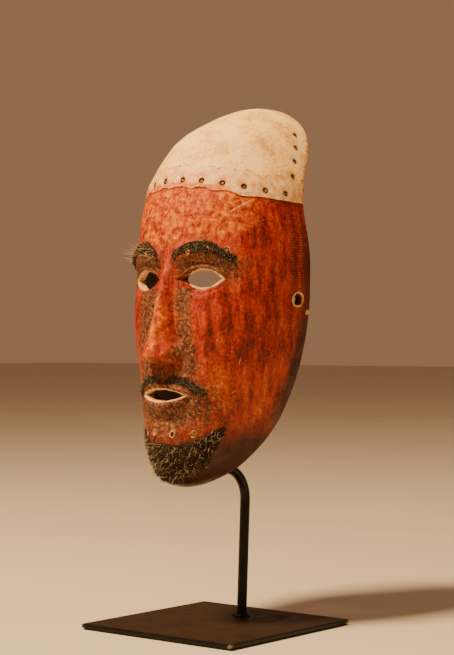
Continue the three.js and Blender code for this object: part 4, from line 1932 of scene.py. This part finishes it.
def sweep_round(name: str, path: Sequence[Vector], radius: float, sides: int, bevel: float = 0.5) -> Piece:
    """Sweep a round rod along a path.

    Args:
        name: the object's name.
        path: points in millimetres.
        radius: the rod's radius in millimetres.
        sides: sides of its section.
        bevel: the bevel at both cut ends, in millimetres.

    Returns:
        The rod, closed, with both its ends bevelled.
    """
    points = [Vector(p) for p in path]
    start, end = (points[1] - points[0]).normalized(), (points[-1] - points[-2]).normalized()
    stops = [(points[0], start, radius - bevel), (points[0] + start * bevel, start, radius)]
    for before, here, after in zip(points, points[1:], points[2:]):
        stops.append((here, (after - before).normalized(), radius))
    stops += [(points[-1] - end * bevel, end, radius), (points[-1], end, radius - bevel)]
    side = Vector((1.0, 0.0, 0.0)) if abs(start.x) < 0.9 else Vector((0.0, 1.0, 0.0))
    rings = []
    for centre, heading, r in stops:
        side = (side - heading * side.dot(heading)).normalized()
        other = heading.cross(side)
        ring = [centre + (side * math.cos(t) + other * math.sin(t)) * r for t in turns(sides)]
        rings.append(np.array(ring))
    last = sides * (len(rings) - 1)
    ends = [tuple(range(sides - 1, -1, -1)), tuple(range(last, last + sides))]
    faces = [*ring_faces(len(rings), sides), *ends]
    rod = make_piece(name, np.stack(rings), faces)
    rod.data.set_sharp_from_angle(angle=math.radians(40))
    return rod


def smooth_path(points: Sequence[Vector], steps: int) -> list[Vector]:
    """Draw a smooth line through points.

    Args:
        points: the points to pass through.
        steps: how many pieces there are between each two.

    Returns:
        The line's points.
    """
    line = [points[0] * 2 - points[1], *points, points[-1] * 2 - points[-2]]
    out = []
    for a, b, c, d in zip(line, line[1:], line[2:], line[3:]):
        for i in range(steps):
            t = i / steps
            square = (2 * a - 5 * b + 4 * c - d) * t * t
            cube = (3 * b - a - 3 * c + d) * t**3
            out.append(0.5 * ((2 * b) + (c - a) * t + square + cube))
    return [*out, points[-1]]


@dataclass(frozen=True)
class WeldBead:
    """A weld bead round a rod, with the ripples of its making.

    It starts at the rod's inner radius, spreads by width, climbs the rod by height, and may have a
    run-out that stretches by tail on one side.
    """

    inner: float
    width: float
    height: float
    tail: float = 0.0
    sections: int = 72

    def build(self, name: str, centre: Vector, axis: Vector) -> Piece:
        """Lay the bead.

        Args:
            name: the object's name.
            centre: the rod's axis where the bead starts.
            axis: the rod's direction.

        Returns:
            The bead as a closed ring.
        """
        turn = axis.to_track_quat("Z", "Y")
        rings = []
        for t in turns(self.sections):
            ripple = 1.0 + 0.09 * math.cos(15 * t + 0.6 * math.sin(3 * t))
            reach = self.width * ripple * (1 + 0.12 * math.sin(2 * t + 1))
            reach = reach + self.tail * math.exp(-((math.sin(t / 2) * 5.0) ** 2))
            profile = (
                (0.0, 0.0),
                (reach, 0.0),
                (reach * 0.96, self.height * 0.16),
                (reach * 0.6, self.height * 0.42 * ripple),
                (reach * 0.26 / (1 + self.tail * 0.1), self.height * 0.8 * ripple),
                (0.12, self.height),
                (0.0, self.height * 0.6),
            )
            ring = []
            for r, h in profile:
                out = self.inner + r
                ring.append(centre + turn @ Vector((out * math.cos(t), out * math.sin(t), h)))
            rings.append(np.array(ring))
        array = np.stack(rings)
        return make_piece(name, array, ring_faces(*array.shape[:2], closed=True))


@dataclass
class DisplayStand:
    """A square steel plate with a bent post, a crossbar, two arms and a chin brace inside the mask."""

    post_radius: float = 4.0
    rod_radius: float = 2.4
    sleeve_radius: float = 3.88
    foot_y: float = 32.5
    lean: float = 2.8
    rise: float = 94.0
    reach: float = 30.0
    reach_slope: float = 20.0
    bend: float = 26.0
    upper_bend: float = 14.0
    upright: float = 50.0
    arm_x: float = 30.0

    def sheet(self, name: str, node: str, round_edge: float, uneven: float) -> Piece:
        """Shape a square sheet with rounded, slightly uneven edges.

        Args:
            name: the object's name.
            node: the CAD node that gives its size.
            round_edge: the bevel of its edges in millimetres.
            uneven: how far its edges waver in millimetres.

        Returns:
            The sheet, with masks for its nicked edge and for a painted reflection on top.
        """
        low, high = box_mm(node)
        size, middle = high - low, (low + high) / 2
        work = bmesh.new()
        bmesh.ops.create_cube(work, size=1.0)
        bmesh.ops.scale(work, vec=size, verts=work.verts)
        bmesh.ops.translate(work, vec=middle, verts=work.verts)
        edges = work.edges[:]
        bmesh.ops.bevel(work, geom=edges, offset=round_edge, segments=3, profile=0.5, affect="EDGES")
        long_edges = [e for e in work.edges if e.calc_length() > 20]
        bmesh.ops.subdivide_edges(work, edges=long_edges, cuts=47, use_grid_fill=True)
        points = np.array([v.co for v in work.verts])
        shift = uneven * HAND.at(points, 3.5) + 0.6 * uneven * HAND.at(points + 7, 11.0)
        for vertex, amount in zip(work.verts, shift):
            x, y = (vertex.co.x - middle.x) / size.x, (vertex.co.y - middle.y) / size.y
            away = Vector((x, y, 0.0)) * 2
            if max(abs(away.x), abs(away.y)) > 0.97:
                vertex.co -= away.normalized() * abs(amount)
            vertex.co *= MM
        for face in work.faces:
            face.smooth = True
        bmesh.ops.recalc_face_normals(work, faces=work.faces)
        mesh = bpy.data.meshes.new(name)
        work.to_mesh(mesh)
        work.free()
        piece = place(name, mesh)
        mesh.set_sharp_from_angle(angle=math.radians(30))
        p = positions(piece)
        across, along = np.abs(p[:, 0] - middle.x), np.abs(p[:, 1] - middle.y)
        corner, rim = (pick(across, along) / (size.x / 2) for pick in (np.minimum, np.maximum))
        nick = smoothstep(0.985, 0.999, rim) * (0.8 + 0.2 * smoothstep(0.9, 1.0, corner))
        # The top face gets a brownish painted reflection, kept under the name dust.
        dust = smoothstep(high.z - 0.4, high.z - 0.1, p[:, 2]) * smoothstep(1.0, 0.97, rim)
        set_masks(piece, nick=nick, dust=dust)
        return piece

    def post_path(self) -> list[Vector]:
        """Draw the post's middle line, with its two bends.

        Returns:
            Points in millimetres, from the foot up.
        """
        at = Vector((0.0, self.foot_y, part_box("base_plate")[1][2] / MM + 0.35))
        heading = math.radians(90 - self.lean)
        path = [at.copy()]

        def forward(length: float, parts: int = 1) -> None:
            """Go on in the present direction, in equal parts."""
            for _ in range(parts):
                at.y += math.cos(heading) * length / parts
                at.z += math.sin(heading) * length / parts
                path.append(at.copy())

        forward(self.rise, 6)
        bends = (
            (self.bend, 90 + self.lean - self.reach_slope, self.reach),
            (self.upper_bend, self.reach_slope - 90, self.upright),
        )
        for radius, turn_by, straight in bends:
            step = math.radians(turn_by) / 18
            for _ in range(18):
                heading += step / 2
                forward(2 * radius * math.sin(abs(step) / 2))
                heading += step / 2
            forward(straight, 4)
        return path

    def post(self) -> Piece:
        """The post, bent cold, with a bevelled upper end."""
        return sweep_round("bent_post", self.post_path(), self.post_radius, 32)

    def foot_weld(self) -> Piece:
        """The bead at the post's foot, with a run-out to one side."""
        foot = Vector((0.0, self.foot_y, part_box("base_plate")[1][2] / MM + 0.06))
        return WeldBead(3.9, 2.6, 3.1, 4.2).build("foot_weld_bead", foot, UP)

    def crossbar(self) -> Piece:
        """Build the bar that is welded across the post's upper end.

        Returns:
            The bar with its three welds.
        """
        low, high = (np.array(c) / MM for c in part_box("crossbar"))
        _, y, z = (low + high) / 2
        path = [Vector((x, y, z)) for x in np.linspace(low[0], high[0], 9)]
        pieces = [sweep_round("crossbar_rod", path, self.rod_radius - 0.02, 24, 0.6)]
        foot = Vector((0, y, self.post_path()[-1].z - 0.2))
        pieces.append(WeldBead(2.2, 1.5, 1.9).build("bead", foot, UP))
        for side in (-1, 1):
            foot = Vector((side * self.arm_x, y, z + self.rod_radius - 0.5))
            pieces.append(WeldBead(2.3, 1.0, 1.6).build("bead", foot, UP))
        return join(pieces)

    def arm(self, name: str) -> Piece:
        """Build one arm, from the crossbar up to the vault of the crown.

        Args:
            name: its CAD node.

        Returns:
            The arm, bent gently inwards and upright in its sleeve.
        """
        low, high = (np.array(c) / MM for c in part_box(name))
        sleeve_low, sleeve_high = (np.array(c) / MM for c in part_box(name.replace("arm", "arm_sleeve")))
        tip = Vector((*((sleeve_low + sleeve_high) / 2)[:2], high[2]))
        root = Vector((math.copysign(self.arm_x, tip.x), low[1] + self.rod_radius, low[2] + 0.05))
        drops = (42.0, 30.0, 20.0, 10.0, 0.0)
        stops = [root, *(Vector((tip.x, tip.y, tip.z - drop)) for drop in drops)]
        return sweep_round(f"{name}_rod", smooth_path(stops, 7), self.rod_radius, 20)

    def sleeve(self, name: str, direction: Vector) -> Piece:
        """Build a rubber sleeve with a closed, rounded end.

        Args:
            name: its CAD node.
            direction: the rod's direction.

        Returns:
            The sleeve, wrinkled slightly where it grips.
        """
        low, high = box_mm(name)
        radius, bore = self.sleeve_radius, self.rod_radius + 0.12
        length = max((high - low).dot(Vector(map(abs, direction))), 1.0)
        base = (low + high) / 2 - direction * length / 2
        profile = [(bore, 2.0), (bore, 0.3), (bore + 0.4, 0.0), (radius - 0.3, 0.0), (radius, 0.5)]
        for h in np.linspace(2.0, length - 3.2, 12):
            profile.append((radius * (1 - 0.02 * math.sin(h * 1.9)), h))
        for t in np.linspace(0.2, math.pi / 2 - 0.01, 7):
            profile.append((radius * math.cos(t), length - 3.0 + 3.0 * math.sin(t)))
        profile += [(0.02, length), (0.02, length - 2.4), (bore, length - 2.6), (bore, length - 4.0)]
        turn = direction.to_track_quat("Z", "Y")
        rings = []
        for r, h in profile:
            ring = [base + turn @ Vector((r * math.cos(t), r * math.sin(t), h)) for t in turns(24)]
            rings.append(np.array(ring))
        return make_piece(f"{name}_rubber", np.stack(rings), ring_faces(len(rings), 24, closed=True))

    def chin_brace(self) -> Piece:
        """Build the short rod that keeps the chin off the post.

        Returns:
            The rod with its weld.
        """
        low, high = (np.array(c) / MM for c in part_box("chin_brace"))
        z, start = (low[2] + high[2]) / 2, high[1] - 0.05
        path = [Vector((0.0, y, z)) for y in np.linspace(start, low[1], 7)]
        rod = sweep_round("chin_brace_rod", path, self.rod_radius, 20)
        foot = Vector((0.0, start + 0.4, z))
        return join([rod, WeldBead(2.3, 1.3, 1.7).build("bead", foot, Vector((0.0, -1.0, 0.0)))])


# ---------------------------------------------------------------------------------------------
# The studio


@dataclass
class Studio:
    """A plain pale floor, soft studio lights and the camera; its lengths are in millimetres."""

    azimuth: float = 39.03
    distance: float = 1372.1
    sideways: float = 8.54
    height: float = 229.65
    pitch: float = 0.451
    focal: float = 93.9
    floor_half: float = 12000.0
    sky: str = "#C08E68"
    sky_strength: float = 0.56

    def floor(self) -> None:
        """Lay the floor."""
        mesh = bpy.data.meshes.new("floor")
        s = self.floor_half * MM
        mesh.from_pydata([(-s, -s, 0), (s, -s, 0), (s, s, 0), (-s, s, 0)], [], [(0, 1, 2, 3)])
        mesh.materials.append(PaleFloor().build())
        place("floor", mesh)

    def lights(self) -> None:
        """Hang a warm key high in front, a weak fill, and a pale sky."""
        world = bpy.data.worlds.new("studio")
        world.use_nodes = True
        sky = world.node_tree.nodes["Background"].inputs
        sky["Color"].default_value = linear(self.sky)
        sky["Strength"].default_value = self.sky_strength
        bpy.context.scene.world = world
        self.lamp("key", Vector((-0.28, -1.28, 2.32)), 0.28, 158.0, 0.45, "#FFD49A")
        self.lamp("fill", Vector((3.4, -1.4, 2.6)), 0.25, 11.0, 2.0, "#FFE8D0")

    def lamp(self, name: str, where: Vector, aim: float, watts: float, size: float, colour: str) -> None:
        """Hang one square soft light.

        Args:
            name: the lamp's name.
            where: its place in metres.
            aim: the height above the middle of the floor that it points at, in metres.
            watts: its power.
            size: its side in metres.
            colour: its colour.
        """
        light = bpy.data.lights.new(name, "AREA")
        light.energy = watts
        light.size = size
        light.color = linear(colour)[:3]
        lamp = place(name, light)
        lamp.location = where
        lamp.rotation_euler = (UP * aim - where).to_track_quat("-Z", "Y").to_euler()

    def camera(self) -> None:
        """Set the camera."""
        a, up = math.radians(self.azimuth), math.radians(self.pitch)
        back = Vector((math.sin(a), -math.cos(a), 0.0))
        right = Vector((math.cos(a), math.sin(a), 0.0))
        where = (back * self.distance + right * self.sideways + UP * self.height) * MM
        view = UP * math.sin(up) - back * math.cos(up)
        data = bpy.data.cameras.new("camera")
        data.lens = self.focal
        data.sensor_width = 36.0
        data.sensor_fit = "AUTO"
        camera = place("camera", data)
        turn = view.to_track_quat("-Z", "Y").to_matrix().to_4x4()
        camera.matrix_world = Matrix.Translation(where) @ turn
        bpy.context.scene.camera = camera


# ---------------------------------------------------------------------------------------------
# Everything in order


def build_hides(holes: PegHoles, cap: Piece) -> None:
    """Build the hairy strips, and the hair on them and along the cap's edge.

    Args:
        holes: every peg hole.
        cap: the finished cap.
    """
    hide, hair = HairyHide().build(), CoarseHair().build()
    single = SingleHair().build()
    brow, lip = FORM.brow_z, FORM.mouth_z
    coated = [("cap_edge", cap, "", HairCoat(0.16, 0.8, 3.0, (0.0, 0.0, -0.3), 1.0, 4.0, 0.9, 41))]
    for name, side in (("right", -1), ("left", 1)):
        strip = HideStrip(
            f"brow_strip_{name}",
            FORM,
            (side * 8.0, side * 52.0),
            (brow - 1, brow + 3.9, brow + 5.5, brow + 2.7, brow - 6),
            (brow + 6, brow + 12.4, brow + 14.2, brow + 10.5, brow + 2),
            ragged=1.1,
            thickness=0.75,
        ).build(holes, holes.brow)
        coat = HairCoat(4.0, 0.6, 1.8, (side * 0.6, -0.2, -0.2), 0.7, 4.5, 0.12, 3 + side)
        coated.append((f"brow_{name}", strip, f"brow_hide_{name}", coat))
        strip = HideStrip(
            f"moustache_strip_{name}",
            FORM,
            (side * 6.0, side * 33.5),
            (lip + 9, lip + 8.7, lip + 7.0, lip + 2.0, lip + 0.6),
            (lip + 13, lip + 14.6, lip + 13.8, lip + 9.3, lip + 2.5),
            columns=44,
            rows=10,
            ragged=0.9,
            thickness=0.55,
        ).build(holes)
        coat = HairCoat(4.5, 0.5, 1.5, (side * 0.4, -0.2, -0.8), 0.7, 4.0, 0.16, 13 + side)
        coated.append((f"moustache_{name}", strip, f"moustache_hide_{name}", coat))
    strip = HideStrip(
        "beard_hide_patch",
        FORM,
        (-40.0, 40.0),
        (161, 136, 123, 119, 123, 136, 161),
        (164, 155.5, 151, 150, 151, 155.5, 164),
        columns=110,
        rows=36,
        ragged=2.2,
        thickness=0.8,
    ).build(holes, holes.beard)
    coat = HairCoat(2.1, 0.7, 2.4, (0.0, -0.3, -0.9), 0.9, 5.4, 0.09, 23)
    coated.append(("beard", strip, "beard_hide", coat))
    strays = {
        "beard": HairCoat(0.1, 3.0, 8.0, (0.2, -0.6, -0.6), 0.6, 5.0, 1.0, 61),
        "brow_right": HairCoat(0.1, 3.0, 12.0, (-1.3, -0.5, 0.2), 0.6, 5.0, 1.0, 61),
    }
    for name, strip, node, coat in coated:
        hairs = coat.grow(f"{name}_hair", strip, single, hair)
        finish_piece(hairs, Body.MASK, Slot.HAIRY_HIDE, hair)
        if name in strays:
            hairs = strays[name].grow(f"{name}_stray_hair", strip, single, hair)
            finish_piece(hairs, Body.MASK, Slot.HAIRY_HIDE, hair)
        if node:
            finish_piece(strip, Body.MASK, Slot.HAIRY_HIDE, hide, node)
    discard(single)


def build_mask(holes: PegHoles) -> None:
    """Build the mask's pieces.

    Args:
        holes: every peg hole.
    """
    shell = CarvedShell(FORM, holes).build()
    finish_piece(shell, Body.MASK, Slot.WOOD, EarthPaintOnWood().build(), "mask_shell")
    cap = RawhideCap(FORM, holes).build()
    finish_piece(cap, Body.MASK, Slot.RAWHIDE, Rawhide().build(), "hide_cap")
    build_hides(holes, cap)
    wood = WhittledPeg().build()
    rows = (
        ("cap_pegs", holes.cap, ("cap_peg_", "rim_peg_")),
        ("brow_pegs", holes.brow, ("brow_peg_",)),
        ("beard_pegs", holes.beard, ("beard_peg_",)),
    )
    for name, group, starts in rows:
        pegs = Pegs().build(name, group, wood)
        finish_piece(pegs, Body.MASK, Slot.PEG, wood, *nodes_starting(*starts))


def build_stand() -> None:
    """Build the stand's pieces."""
    stand = DisplayStand()
    steel, rubber = BlackPaintedSteel().build(), BlackRubber().build()
    plate = stand.sheet("base_plate_steel", "base_plate", 0.45, 0.12)
    finish_piece(plate, Body.STAND, Slot.STEEL, steel, "base_plate")
    sheet = BlackRubber("black_rubber_sheet", "#1B1512", "#2E2620").build()
    pad = stand.sheet("base_pad_rubber", "base_pad", 0.3, 0.05)
    finish_piece(pad, Body.STAND, Slot.PAD, sheet, "base_pad")
    parts = {"post": stand.post, "foot_weld": stand.foot_weld, "crossbar": stand.crossbar}
    for node, build in (parts | {"chin_brace": stand.chin_brace}).items():
        finish_piece(build(), Body.STAND, Slot.STEEL, steel, node)
    for side in ("right", "left"):
        finish_piece(stand.arm(f"arm_{side}"), Body.STAND, Slot.STEEL, steel, f"arm_{side}")
        sleeve = stand.sleeve(f"arm_sleeve_{side}", UP)
        finish_piece(sleeve, Body.STAND, Slot.SLEEVE, rubber, f"arm_sleeve_{side}")
    sleeve = stand.sleeve("chin_sleeve", Vector((0.0, -1.0, 0.0)))
    finish_piece(sleeve, Body.STAND, Slot.SLEEVE, rubber, "chin_sleeve")


def main() -> None:
    logging.basicConfig(level=logging.INFO, format="%(name)s: %(message)s")
    studio = Studio()
    studio.camera()
    studio.floor()
    studio.lights()
    build_mask(PegHoles())
    build_stand()


if __name__ == "__main__":
    main()
